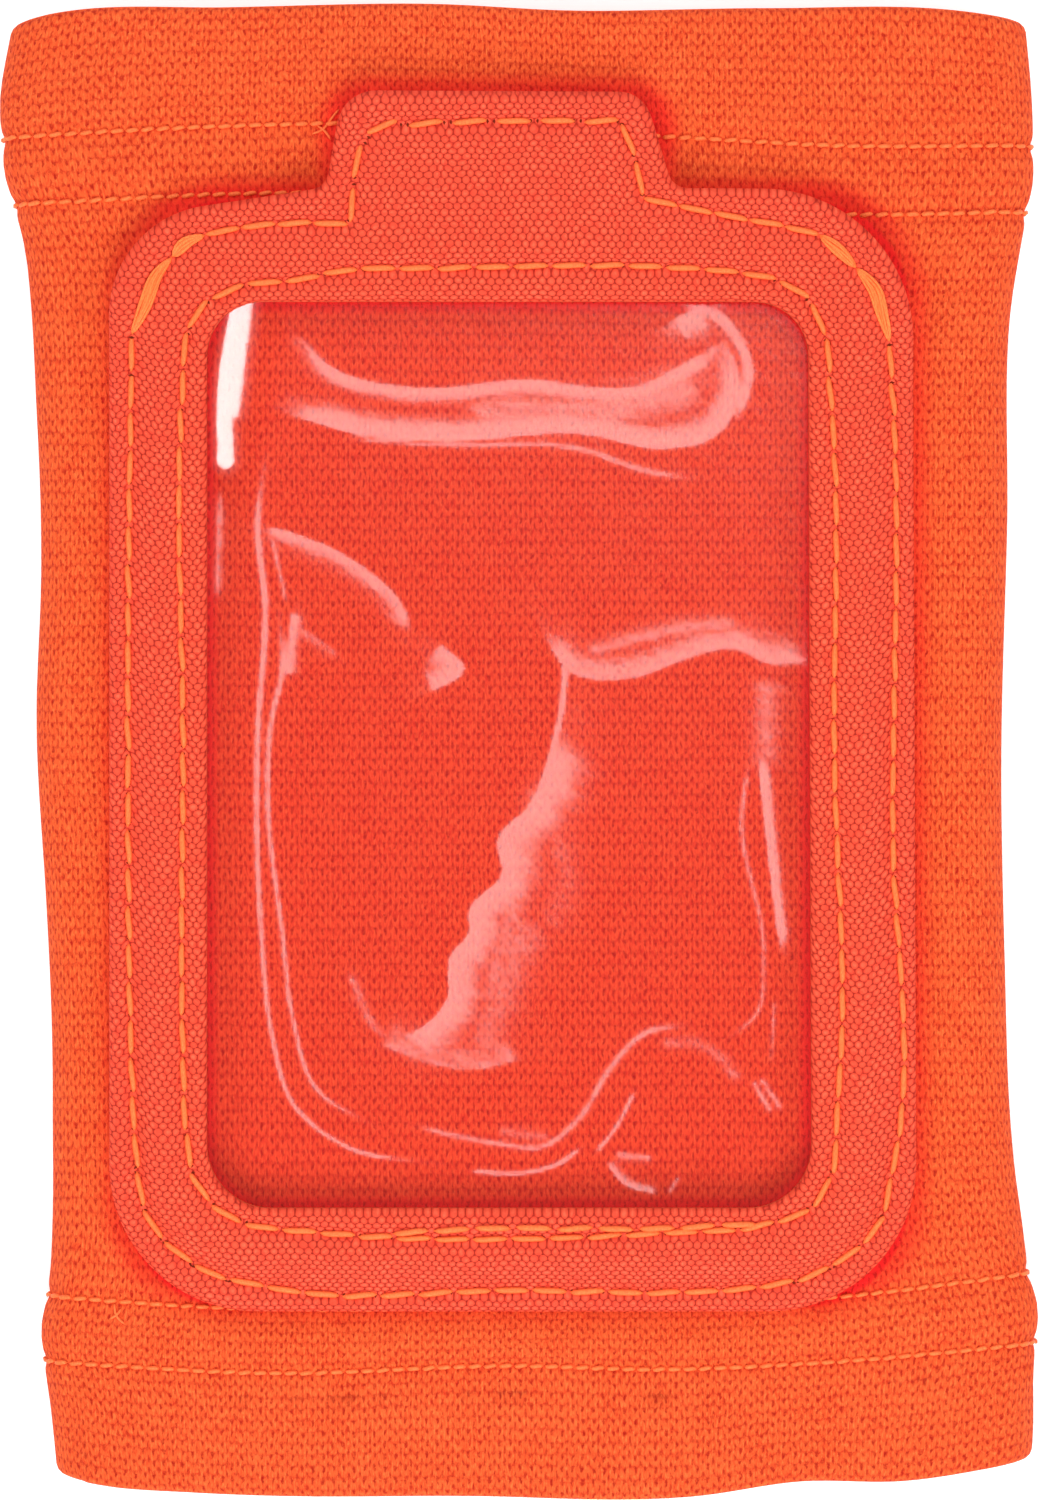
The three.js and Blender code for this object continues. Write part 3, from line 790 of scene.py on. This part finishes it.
def laminate_piece(name, part, top, bottom, material, top_share, bottom_share):
    """The "lower" or the "upper" part of one layer of the laminate, as a closed plate. They meet at SPLIT."""
    below = PLAN_VERTS[PLAN_FACES].mean(axis=1)[:, 1] < SPLIT
    faces = PLAN_FACES[below if part == "lower" else ~below]
    used, faces = np.unique(faces, return_inverse=True)
    faces = faces.reshape(-1, 3)
    flat = PLAN_VERTS[used]
    rise, drop = PLAN_RISE[used], PLAN_DROP[used]
    count = len(used)
    upper = np.column_stack([flat, top + drop + rise * top_share])
    lower = np.column_stack([flat, bottom + drop + rise * bottom_share])
    edges = dict.fromkeys(e for a, b, c in faces for e in ((a, b), (b, c), (c, a)))
    walls = [(b, a, a + count, b + count) for a, b in edges if (b, a) not in edges]
    shell = [tuple(f) for f in faces] + [(c + count, b + count, a + count) for a, b, c in faces] + walls
    verts = np.vstack([upper, lower])
    corner = np.concatenate([np.array(f) for f in shell])
    height = verts[corner, 2] - top
    uv = np.column_stack([verts[corner, 0] / CLOTH_CELL[0], (verts[corner, 1] + height) / CLOTH_CELL[1]])
    made = mesh_object(name, verts, [tuple(int(i) for i in f) for f in shell], material, uv)
    # the cloth runs on from one piece to the next, so the shading must not turn down at their joint
    ends = np.array([e.vertices[:] for e in made.data.edges])
    at_joint = (np.abs(verts[ends, 1] - SPLIT) < 0.01).all(1)
    sharp = made.data.attributes.new("sharp_edge", "BOOLEAN", "EDGE")
    sharp.data.foreach_set("value", at_joint)
    return made


layers = {}
for layer, top, bottom, material, top_share, bottom_share in (
        ("face", FACE_TOP, face_low[2], FRAME_CLOTH, 1.0, 1.0),
        ("foam", foam_high[2], foam_low[2], FOAM, 1.0, 0.0),
        ("lining", lining_high[2], lining_low[2], LINING, 0.0, 0.0)):
    for part in ("lower", "upper"):
        layers[layer, part] = laminate_piece(f"laminate_{layer}_{part}", part, top, bottom, material,
                                             top_share, bottom_share)


# ---------------------------------------------------------------- the clear window film

# Creases and dents that a card has pressed into the vinyl. Each is a line of control points, how far its
# slope runs out to the left and to the right of the line, how steep it is, and the direction that it faces.
AWAY, TOWARDS = "away", "towards"
CREASES = [
    # the fold across the top: its upper edge, its lower edge, the sheen between them and the hook at its end
    ([(-30, 56), (-27, 52.5), (-15, 49), (0, 50), (17, 49.5), (22, 52), (27, 55)], 0.4, 1.5, 0.85, AWAY),
    ([(-32, 46), (-20, 43), (-10, 42.5), (8, 43.5), (20, 41.5), (26, 43), (29.5, 49), (28.5, 54)],
     2.3, 0.3, 1.05, AWAY),
    ([(-8, 46.5), (12, 46.5), (25, 50)], 3.0, 3.0, 0.52, AWAY),
    ([(22.5, 61), (27.5, 58.5), (31, 52), (29.5, 45.5)], 0.45, 0.6, 0.9, AWAY),
    ([(21, 58.5), (24.5, 60)], 0.2, 2.4, 1.0, AWAY),
    ([(-24, 42.5), (-10, 41.5), (8, 41), (17, 38), (23, 37)], 0.4, 0.3, 0.62, AWAY),
    # the two long ones down the left side and along the foot
    ([(-35, 40), (-36, 31), (-35, 20), (-36, 2), (-35.5, -25), (-34, -39), (-31, -48.5), (-24, -54),
      (-11, -56.5)], 0.55, 0.4, 0.85, AWAY),
    ([(-7.5, -57.5), (1.5, -57.5), (5, -56.5), (8.5, -54)], 0.6, 0.3, 0.85, AWAY),
    ([(-33, 19), (-32.5, 11), (-34, 4), (-34.5, -7), (-32.5, -25), (-31, -37), (-28, -46), (-19.5, -51.5)],
     0.35, 0.6, 0.8, AWAY),
    ([(-15.5, -51), (-4, -53.5), (3, -54), (8, -50), (12, -43.5), (17, -38.5), (23, -37.5)],
     0.6, 0.6, 0.75, AWAY),
    ([(-3.5, -52), (4, -53)], 1.6, 1.2, 0.6, AWAY),
    ([(-34, 29), (-32, 20)], 0.3, 0.4, 0.65, AWAY),
    ([(-31, 19), (-32, 10)], 1.4, 0.5, 0.78, AWAY),
    ([(-30.5, 17), (-25, 13)], 0.3, 1.3, 0.55, AWAY),
    # the arc at the upper left, and the dent at its end
    ([(-35.5, 30.5), (-30, 29), (-22, 25), (-16, 19), (-15, 16)], 0.25, 2.2, 0.75, AWAY),
    ([(-11.5, 14.5), (-8, 11), (-12.5, 8)], 0.3, 3.2, 0.85, AWAY),
    # the scalloped one down the middle, with the sheen beside it
    ([(6, 13), (5.5, 6), (4, -1)], 0.5, 0.4, 0.85, AWAY),
    ([(5, 3), (1, -8), (-3, -12), (-2.5, -17), (-7, -22), (-7, -25), (-9.5, -28), (-10, -34), (-13.5, -38),
      (-18.5, -39.5)], 6.0, 0.3, 0.85, AWAY),
    ([(3.5, -3), (-1, -20), (-5, -36)], 3.6, 2.6, 0.6, AWAY),
    ([(-20, -40), (-7, -43.5), (0.5, -42)], 6.0, 0.4, 0.66, AWAY),
    ([(1, -22), (-6, -42)], 5.5, 4.5, 0.58, AWAY),
    ([(4, -8), (5.5, -20), (3, -25)], 4.2, 4.2, 0.45, AWAY),
    ([(-22.5, -32.5), (-19.5, -38)], 0.3, 1.8, 0.6, AWAY),
    ([(-24, -30), (-19, -39), (-14, -40.5)], 1.6, 0.4, 0.6, AWAY),
    # the fold to the right edge, and the ones down the right side
    ([(3, 16), (6.5, 11), (15, 10), (22, 12.5), (29, 14), (34, 12), (39.5, 12)], 3.4, 0.3, 0.72, AWAY),
    ([(8, 13), (22, 16.5), (30, 17)], 1.6, 1.2, 0.55, AWAY),
    ([(31, -1.5), (30, -9), (33, -28), (32, -36), (28, -39.5)], 0.35, 0.35, 0.66, AWAY),
    ([(32.5, -0.5), (34, -15), (35.5, -27.5)], 1.1, 0.35, 0.95, AWAY),
    ([(33.5, 10), (33, -3)], 2.4, 2.2, 0.5, AWAY),
    ([(34.5, -34), (34, -42.5)], 0.35, 0.35, 0.6, AWAY),
    # small dents towards the lower right corner
    ([(10, -55), (12.5, -52), (15.5, -46.5)], 0.45, 0.4, 0.8, AWAY),
    ([(11.5, -56), (14, -59), (18.5, -60.5)], 1.3, 0.3, 0.8, AWAY),
    ([(12.5, -55), (18, -55.5)], 0.5, 1.2, 0.7, AWAY),
    ([(20, -60.5), (21.5, -58)], 0.4, 0.4, 0.7, AWAY),
    ([(18.5, -40), (25, -40.5), (30, -45.5)], 1.5, 1.0, 0.56, AWAY),
    ([(31.5, -45), (34, -49.5)], 0.5, 0.5, 0.72, AWAY),
    ([(32.5, -44.5), (35.5, -49)], 0.5, 0.5, 0.72, AWAY),
    # the bright bulge in the upper left corner
    ([(-38.5, 62), (-40.5, 50), (-40.5, 37)], 2.4, 1.6, 1.05, TOWARDS),
    ([(-37.5, 63), (-40, 44)], 2.6, 2.2, 1.0, TOWARDS),
    ([(-41, 37), (-41.5, 20.5)], 0.8, 0.5, 0.62, AWAY),
]
STEEP = math.tan(math.radians(24))


def facing_lamp(points):
    """The slope at each point that mirrors the overhead lamp straight to the camera."""
    places = np.column_stack([points, np.full(len(points), film_high[2])]) * MM
    to_lamp, to_camera = STRIP_PLACE - places, CAMERA_PLACE - places
    half = (to_lamp / np.linalg.norm(to_lamp, axis=1)[:, None]
            + to_camera / np.linalg.norm(to_camera, axis=1)[:, None])
    return half[:, :2] / half[:, 2:]


def film_slopes(points):
    """Which way, and how steeply, the vinyl faces at each point."""
    slopes = np.zeros((len(points), 2))
    for controls, left, right, steep, faces in CREASES:
        reach = 2.6 * max(left, right)
        low, high = np.min(controls, 0) - reach, np.max(controls, 0) + reach
        near = np.flatnonzero(((points > low) & (points < high)).all(1))
        gap, side, along = nearest_on(points[near], spline(controls))
        fade = smooth_step(along, -0.02, 0.10) * smooth_step(1 - along, -0.02, 0.10)
        width = np.where(side > 0, left, right) * 1.05 + 0.15
        amount = steep * (0.35 + 0.65 * fade) * np.exp(-np.abs(gap / width) ** 1.8)
        most = facing_lamp(points[near]) if faces == AWAY else np.tile([0, -STEEP], (len(near), 1))
        already = (slopes[near] * most).sum(1) / (most ** 2).sum(1)
        slopes[near] += np.maximum(amount - np.maximum(already, 0), 0)[:, None] * most
    return slopes


def relax(slope_x, slope_y, dx, dy):
    """The height whose slopes come nearest to the ones asked for, held down at the border.

    It solves Poisson's equation, with the slopes mirrored into an odd, periodic field."""
    rows, columns = slope_x.shape
    source = np.gradient(slope_x, dx, axis=1) + np.gradient(slope_y, dy, axis=0)
    odd = np.zeros((2 * rows + 2, 2 * columns + 2))
    odd[1:rows + 1, 1:columns + 1] = source
    odd[rows + 2:, 1:columns + 1] = -source[::-1]
    odd[:, columns + 2:] = -odd[:, columns:0:-1]
    ky = 2 * np.pi * np.fft.fftfreq(2 * rows + 2, dy)
    kx = 2 * np.pi * np.fft.fftfreq(2 * columns + 2, dx)
    power = ky[:, None] ** 2 + kx[None, :] ** 2
    power[0, 0] = 1
    return np.real(np.fft.ifft2(-np.fft.fft2(odd) / power))[1:rows + 1, 1:columns + 1]


def film_mesh():
    low, high = film_low[:2], film_high[:2]
    inner_low, inner_high = low + FILM_MARGIN - 0.6, high - FILM_MARGIN + 0.6
    fine_step, border = 0.5, 3      # the grid of the creased part, and how many wide cells lie round it
    fine = [np.linspace(a, b, round((b - a) / fine_step) + 1) for a, b in zip(inner_low, inner_high)]
    xs, ys = (np.r_[np.linspace(a, f[0], border + 1)[:-1], f, np.linspace(f[-1], b, border + 1)[1:]]
              for a, b, f in zip(low, high, fine))
    fine_points = np.array([(x, y) for y in fine[1] for x in fine[0]])
    slopes = film_slopes(fine_points).reshape(len(fine[1]), len(fine[0]), 2)
    lift = relax(-slopes[..., 0], -slopes[..., 1], fine[0][1] - fine[0][0], fine[1][1] - fine[1][0])
    lift = np.clip(lift, -0.5, 1.6)
    height, tilt = np.zeros((len(ys), len(xs))), np.zeros((len(ys), len(xs), 2))
    height[border:-border, border:-border], tilt[border:-border, border:-border] = lift, slopes
    gx, gy = np.meshgrid(xs, ys)
    sag = smooth_step(np.minimum(np.minimum(gx - inner_low[0], inner_high[0] - gx),
                                 np.minimum(gy - inner_low[1], inner_high[1] - gy)), 0, 14)
    height -= 0.35 * sag
    grid = np.column_stack([gx.ravel(), gy.ravel()])
    corner_radius, corners = 12, [(low[0], low[1]), (high[0], low[1]), (high[0], high[1]), (low[0], high[1])]
    keep = in_outline(grid, outline([(*corner, corner_radius) for corner in corners], 0, 1.2))
    index = np.cumsum(keep) - 1
    count = int(keep.sum())
    upper = np.column_stack([grid[keep], film_high[2] + height.ravel()[keep]])
    lower = np.column_stack([grid[keep], film_low[2] + height.ravel()[keep]])
    nx, quads = len(xs), []
    for j in range(len(ys) - 1):
        for i in range(nx - 1):
            quad = (j * nx + i, j * nx + i + 1, (j + 1) * nx + i + 1, (j + 1) * nx + i)
            if all(keep[c] for c in quad):
                quads.append(tuple(int(index[c]) for c in quad))
    edges = {e for q in quads for e in zip(q, q[1:] + q[:1])}
    walls = [(b, a, a + count, b + count) for a, b in sorted(edges) if (b, a) not in edges]
    shell = quads + [tuple(i + count for i in q[::-1]) for q in quads] + walls
    made = mesh_object("vinyl_film", np.vstack([upper, lower]), shell, FILM)
    facing = np.column_stack([tilt.reshape(-1, 2)[keep], np.ones(count)])
    facing /= np.linalg.norm(facing, axis=1)[:, None]
    stored = made.data.attributes.new("facing", "FLOAT_VECTOR", "POINT")
    stored.data.foreach_set("vector", np.vstack([facing, facing]).astype(np.float32).ravel())
    return made


film = film_mesh()


# ---------------------------------------------------------------- stitches

def strand(path, radius, flat=1.0):
    """A thread along a 3-D path that narrows to a point at both ends. flat is its height over its width."""
    sides = 6
    path = np.array(path, float)
    tangent = np.gradient(path, axis=0)
    tangent /= np.linalg.norm(tangent, axis=1)[:, None]
    across = np.cross(tangent, [0, 0, 1.0])
    across /= np.linalg.norm(across, axis=1)[:, None]
    up = np.cross(across, tangent)
    share = np.linspace(0, 1, len(path))
    size = radius * np.clip(4 * share * (1 - share), 0, 1) ** 0.25 + 0.02
    angles = np.linspace(0, 2 * math.pi, sides, endpoint=False)
    turned = (np.cos(angles)[None, :, None] * across[:, None]
              + flat * np.sin(angles)[None, :, None] * up[:, None])
    verts = (path[:, None] + size[:, None, None] * turned).reshape(-1, 3)
    faces = [(i + k, i + (k + 1) % sides, i + sides + (k + 1) % sides, i + sides + k)
             for i in range(0, (len(path) - 1) * sides, sides) for k in range(sides)]
    faces += [tuple(range(sides - 1, -1, -1)), tuple((len(path) - 1) * sides + k for k in range(sides))]
    return verts, faces


def joined(parts):
    verts, faces = [], []
    for part_verts, part_faces in parts:
        first = sum(len(v) for v in verts)
        verts.append(part_verts)
        faces += [tuple(int(i) + first for i in f) for f in part_faces]
    return np.vstack(verts), faces


def stitch_shape(length, radius, rise):
    """One lockstitch, with the thread diving into the cloth at both ends."""
    t = np.linspace(-1, 1, 8)
    height = rise * (1 - np.abs(t) ** 4) - 0.2 * np.abs(t) ** 10
    path = np.stack([t * length / 2, 0.06 * np.sin(t * 3), height], 1)
    return strand(path, radius, 0.8)


def hole_shape(radius):
    """A small dark dimple."""
    sides, rings = 8, [(radius, 0.12), (radius * 0.55, 0.02)]
    angles = np.linspace(0, 2 * math.pi, sides, endpoint=False)
    verts = [(r * math.cos(a), r * math.sin(a), z) for r, z in rings for a in angles] + [(0, 0, -0.12)]
    faces = [(k, (k + 1) % sides, sides + (k + 1) % sides, sides + k) for k in range(sides)]
    faces += [(sides + k, sides + (k + 1) % sides, 2 * sides) for k in range(sides)]
    return np.array(verts), faces


def stitch_tree():
    """Puts a stitch at every pitch along a line, standing on the surface whose normal the line carries."""
    tree = bpy.data.node_groups.new("row_of_stitches", "GeometryNodeTree")
    face = tree.interface
    face.new_socket("Geometry", in_out="INPUT", socket_type="NodeSocketGeometry")
    for name, kind, value in (("Stitch", "NodeSocketObject", None), ("Pitch", "NodeSocketFloat", 0.005),
                              ("Wander", "NodeSocketFloat", 0.08), ("Seed", "NodeSocketInt", 0),
                              ("Thread", "NodeSocketMaterial", None)):
        made = face.new_socket(name, in_out="INPUT", socket_type=kind)
        if value is not None:
            made.default_value = value
    face.new_socket("Geometry", in_out="OUTPUT", socket_type="NodeSocketGeometry")
    nodes, links = tree.nodes, tree.links
    source, result = nodes.new("NodeGroupInput"), nodes.new("NodeGroupOutput")

    def add(kind, inputs=(), **settings):
        made = nodes.new(kind)
        for key, value in settings.items():
            setattr(made, key, value)
        for key, value in dict(inputs).items():
            if isinstance(value, bpy.types.NodeSocket):
                links.new(value, made.inputs[key])
            else:
                made.inputs[key].default_value = value
        return made

    line = add("GeometryNodeMeshToCurve", {0: source.outputs["Geometry"]})
    points = add("GeometryNodeCurveToPoints", {"Curve": line.outputs[0], "Length": source.outputs["Pitch"]},
                 mode="LENGTH")
    outward = add("GeometryNodeInputNamedAttribute", {"Name": "outward"}, data_type="FLOAT_VECTOR")
    upright = add("FunctionNodeAlignRotationToVector", {"Vector": outward.outputs[0]}, axis="Z")
    turned = add("FunctionNodeAlignRotationToVector", {"Rotation": upright.outputs[0],
                                                       "Vector": points.outputs["Tangent"]},
                 axis="X", pivot_axis="Z")
    low = add("ShaderNodeMath", {0: source.outputs["Wander"], 1: -1.0}, operation="MULTIPLY")
    random = add("FunctionNodeRandomValue", {2: low.outputs[0], 3: source.outputs["Wander"],
                                             "Seed": source.outputs["Seed"]}, data_type="FLOAT")
    about = add("FunctionNodeAxisAngleToRotation", {"Axis": (0.0, 0.0, 1.0), "Angle": random.outputs[1]})
    askew = add("FunctionNodeRotateRotation", {"Rotation": turned.outputs[0], "Rotate By": about.outputs[0]},
                rotation_space="LOCAL")
    stitch = add("GeometryNodeObjectInfo", {"Object": source.outputs["Stitch"]})
    copies = add("GeometryNodeInstanceOnPoints", {"Points": points.outputs["Points"],
                                                  "Instance": stitch.outputs["Geometry"],
                                                  "Rotation": askew.outputs[0]})
    real = add("GeometryNodeRealizeInstances", {0: copies.outputs[0]})
    dyed = add("GeometryNodeSetMaterial", {"Geometry": real.outputs[0], "Material": source.outputs["Thread"]})
    links.new(dyed.outputs[0], result.inputs[0])
    return tree


STITCH_TREE = stitch_tree()


def template(name, shape, material):
    return mesh_object(name, shape[0], shape[1], material)


FRAME_STITCH = template("template_frame_stitch", stitch_shape(5.15, 0.41, 0.36), THREAD)
HEM_STITCH = template("template_hem_stitch", stitch_shape(1.9, 0.30, 0.28), THREAD)
NEEDLE_HOLE = template("template_needle_hole", hole_shape(0.62), HOLE)


def stitch_row(name, line, outward, stitch, pitch, material, wander, seed):
    """A plain mesh of stitches along a line, made by the row_of_stitches nodes."""
    mesh = bpy.data.meshes.new(name)
    mesh.from_pydata((np.asarray(line) * MM).tolist(), [(i, i + 1) for i in range(len(line) - 1)], [])
    normals = mesh.attributes.new("outward", "FLOAT_VECTOR", "POINT")
    normals.data.foreach_set("vector", np.asarray(outward, np.float32).ravel())
    obj = link(bpy.data.objects.new(name + "_line", mesh))
    modifier = obj.modifiers.new("stitches", "NODES")
    modifier.node_group = STITCH_TREE
    values = {"Stitch": stitch, "Pitch": pitch * MM, "Wander": wander, "Seed": seed, "Thread": material}
    for item in STITCH_TREE.interface.items_tree:
        if item.in_out == "INPUT" and item.name in values:
            modifier[item.identifier] = values[item.name]
    bpy.context.view_layer.update()
    shown = obj.evaluated_get(bpy.context.evaluated_depsgraph_get())
    made = bpy.data.meshes.new_from_object(shown)
    made.shade_smooth()
    bpy.data.objects.remove(obj)
    made.name = name
    return link(bpy.data.objects.new(name, made))


def on_laminate(line, above):
    """Lifts a flat line onto the laminate's face."""
    return np.column_stack([line, FACE_TOP + laminate_rise(line) + laminate_drop(line) + above])


def up_normals(line):
    return np.tile([0, 0, 1.0], (len(line), 1))


THREAD_LIFT = 0.02
FRAME_PITCH, DOUBLED_PITCH, HEM_PITCH = 5.2, 5.15, 2.1      # from one stitch to the next
SHORT_OF = 0.9999       # pitches are set this much short, so that rounding never costs a row its last stitch


def laminate_row(name, line, seed):
    """Stitches end to end along a line, with a needle hole at both ends of each."""
    length = np.linalg.norm(np.diff(line, axis=0), axis=1).sum()
    pitch = length / round(length / FRAME_PITCH)
    path = on_laminate(even(line, pitch / 10), THREAD_LIFT)
    between = path[5:-5]       # from the middle of the first stitch to the middle of the last
    pitch *= SHORT_OF
    threads = stitch_row(name, between, up_normals(between), FRAME_STITCH, pitch, THREAD, 0.07, seed)
    holes = stitch_row(name + "_holes", path, up_normals(path), NEEDLE_HOLE, pitch, HOLE, 0.0, seed)
    return threads, holes


right_row, right_holes = laminate_row("pocket_stitches_shoulder", spline(RIGHT_SHOULDER, 0.5), 1)
foot_row, foot_holes = laminate_row("pocket_stitches_foot", spline(AROUND_FOOT, 0.5), 5)
left_row, left_holes = laminate_row("pocket_stitches_mouth", spline(LEFT_SHOULDER, 0.5), 2)
tab_row, tab_holes = laminate_row("tab_stitches", spline(TAB_SIDE_AND_TOP, 0.5), 3)
tab_side_row, tab_side_holes = laminate_row("tab_side_stitches", spline(TAB_OTHER_SIDE, 0.5), 6)
window_row, window_holes = laminate_row("window_stitches", closed(WINDOW_ROW_LINE), 4)
twice = on_laminate(spline(SEWN_TWICE, 0.5), THREAD_LIFT)
doubled_row = stitch_row("window_stitches_doubled", twice, up_normals(twice), FRAME_STITCH, DOUBLED_PITCH,
                         THREAD, 0.07, 7)

hem_rows = []
for k, (hem, side, row) in enumerate(HEM_ROWS):
    around = np.linspace(0, GIRTH, 560)
    surface = tube_points(around, 0 * around + row, 0 * around)
    _, _, nx, nz = section(around, 0.0)
    normals = np.column_stack([nx, 0 * nx, nz])
    hem_rows.append(stitch_row(f"{hem}_hem_stitches_{side}", surface, normals, HEM_STITCH, HEM_PITCH, THREAD,
                               0.10, 10 + k))

for made in (FRAME_STITCH, HEM_STITCH, NEEDLE_HOLE):
    bpy.data.objects.remove(made)


def backstitch(name, bars, strands, seed):
    """Fat bars of back-and-forth stitches: many strands that part in the middle and meet at both ends."""
    random = np.random.default_rng(seed)
    parts = []
    for controls, width in bars:
        base = spline(controls, 0.7)
        side = np.gradient(base, axis=0)[:, ::-1] * [1, -1]
        side /= np.linalg.norm(side, axis=1)[:, None]
        t = np.linspace(0, 1, len(base))
        for k in range(strands):
            share = 2 * (k + 0.5) / strands - 1
            swell = np.clip(np.sin(math.pi * t), 0, 1) ** random.uniform(0.45, 0.8)
            offset = share * width / 2 * swell + random.uniform(-0.12, 0.12) * np.sin(2 * math.pi * t)
            lift = 0.10 + (0.5 - 0.3 * share ** 2 + random.uniform(-0.18, 0.18)) * swell
            parts.append(strand(on_laminate(base + offset[:, None] * side, lift), random.uniform(0.15, 0.22)))
    verts, faces = joined(parts)
    return mesh_object(name, verts, faces, BRIGHT_THREAD)


left_tack = backstitch("left_bar_tack", [(LEFT_TACK[:4], 1.8), (LEFT_TACK[3:], 1.5)], 7, 5)
right_tack = backstitch("right_bar_tack", [(RIGHT_TACK[:3], 1.5), (RIGHT_TACK[2:], 1.8)], 7, 6)


def thread_tail(name, tails):
    """Loose ends of sewing thread, lying on the knit."""
    parts = []
    for controls in tails:
        line = spline(controls, 0.4)
        heights = [band.ray_cast((x * MM, y * MM, 0.1), (0, 0, -1))[1].z / MM for x, y in line]
        parts.append(strand(np.column_stack([line, np.array(heights) + 0.22]), 0.16))
    verts, faces = joined(parts)
    return mesh_object(name, verts, faces, THREAD)


top_tails = thread_tail("top_thread_tails", [[(-28.6, 84.0), (-27.2, 84.6), (-25.9, 86.2), (-24.9, 87.4)],
                                             [(-27.9, 85.2), (-26.8, 84.4), (-26.0, 83.2)]])
bottom_tails = thread_tail("bottom_thread_tails", [[(-55.6, -75.4), (-55.2, -77.2), (-54.1, -78.3)],
                                                   [(-56.2, -77.6), (-55.2, -77.0), (-54.5, -76.1)]])


# ---------------------------------------------------------------- bodies

def rides(body, *objs):
    for obj in objs:
        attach(obj, body)


def bends_at_rim(*objs):
    for obj in objs:
        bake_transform(obj)


def bends_at_tab(*objs):
    for obj in objs:
        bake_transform(obj)


rides("sleeve", band, top_elastic, bottom_elastic, film, window_row, window_holes, foot_row, foot_holes,
      doubled_row, top_tails, bottom_tails, *hem_rows)
bends_at_rim(*(layers[layer, "lower"] for layer in ("face", "foam", "lining")))
bends_at_tab(*(layers[layer, "upper"] for layer in ("face", "foam", "lining")))
bends_at_rim(right_row, right_holes, left_row, left_holes, left_tack, right_tack)
bends_at_tab(tab_row, tab_holes, tab_side_row, tab_side_holes)

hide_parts("knit_sleeve", "top_hem_facing", "bottom_hem_facing")
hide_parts("top_elastic")
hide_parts("bottom_elastic")
for row, (hem, side, _) in zip(hem_rows, HEM_ROWS):
    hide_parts(f"{hem}_hem_row_{side}")
for layer in ("face", "foam", "lining"):
    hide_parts(f"frame_{layer}")
    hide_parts(f"rim_{layer}", f"tab_{layer}")
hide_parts("window_film")
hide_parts("window_row")
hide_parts("pocket_row")
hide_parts("rim_row_right")
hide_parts("rim_row_left")
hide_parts("tab_row")
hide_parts("left_backstitch")
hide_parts("right_backstitch")


for node, material in (("hook_patch", HOOK_TAPE), ("loop_patch", LOOP_TAPE), ("loop_patch_row", THREAD)):
    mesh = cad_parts[node].data
    mesh.materials.clear()
    mesh.materials.append(material)


# ---------------------------------------------------------------- floor, lights and camera

FLOOR_REACH = 3                  # metres from the middle to each side
floor = bpy.data.meshes.new("floor")
floor_corners = [(x * FLOOR_REACH, y * FLOOR_REACH, 0) for x, y in ((-1, -1), (1, -1), (1, 1), (-1, 1))]
floor.from_pydata(floor_corners, [], [(0, 1, 2, 3)])
floor.materials.append(floor_material())
link(bpy.data.objects.new("floor", floor))


def softbox(name, azimuth, tilt, distance, size, power):
    """A square area light aimed at the band. tilt is its angle from straight overhead."""
    data = bpy.data.lights.new(name, "AREA")
    data.shape, data.size, data.energy = "SQUARE", size, power
    obj = link(bpy.data.objects.new(name, data))
    direction = Vector(direction_to(azimuth, tilt))
    obj.location = direction * distance
    obj.rotation_euler = direction.to_track_quat("Z", "Y").to_euler()
    obj.visible_camera = False


for name, azimuth, tilt, distance, size, power in (
        ("key", 0, 48, 1.1, 0.5, 9.0), ("right_fill", 80, 50, 1.1, 0.5, 4.0),
        ("left_fill", 280, 50, 1.1, 0.5, 4.0), ("back_fill", 180, 50, 1.1, 0.5, 4.4),
        ("overhead_strip", STRIP_AZIMUTH, STRIP_TILT, STRIP_DISTANCE, 0.34, 1.45)):
    softbox(name, azimuth, tilt, distance, size, power)

# a pale room that is darkest straight overhead, so that the film shows little but the lamp in its creases
world = bpy.data.worlds.new("studio")
world.use_nodes = True
background = next(n for n in world.node_tree.nodes if n.type == "BACKGROUND")
sky = world.node_tree.nodes.new("ShaderNodeTexCoord")
height = world.node_tree.nodes.new("ShaderNodeSeparateXYZ")
dimming = world.node_tree.nodes.new("ShaderNodeMapRange")
for key, value in {"From Min": 0.90, "From Max": 0.965, "To Min": 0.36, "To Max": 0.08}.items():
    dimming.inputs[key].default_value = value
world.node_tree.links.new(sky.outputs["Generated"], height.inputs[0])
world.node_tree.links.new(height.outputs["Z"], dimming.inputs["Value"])
world.node_tree.links.new(dimming.outputs[0], background.inputs["Color"])
background.inputs["Strength"].default_value = 1.0
bpy.context.scene.world = world

camera_data = bpy.data.cameras.new("camera")
camera_data.lens, camera_data.sensor_width = LENS, SENSOR
camera = link(bpy.data.objects.new("camera", camera_data))
camera.location = CAMERA_PLACE
bpy.context.scene.camera = camera
bpy.context.scene.view_settings.view_transform = "Standard"
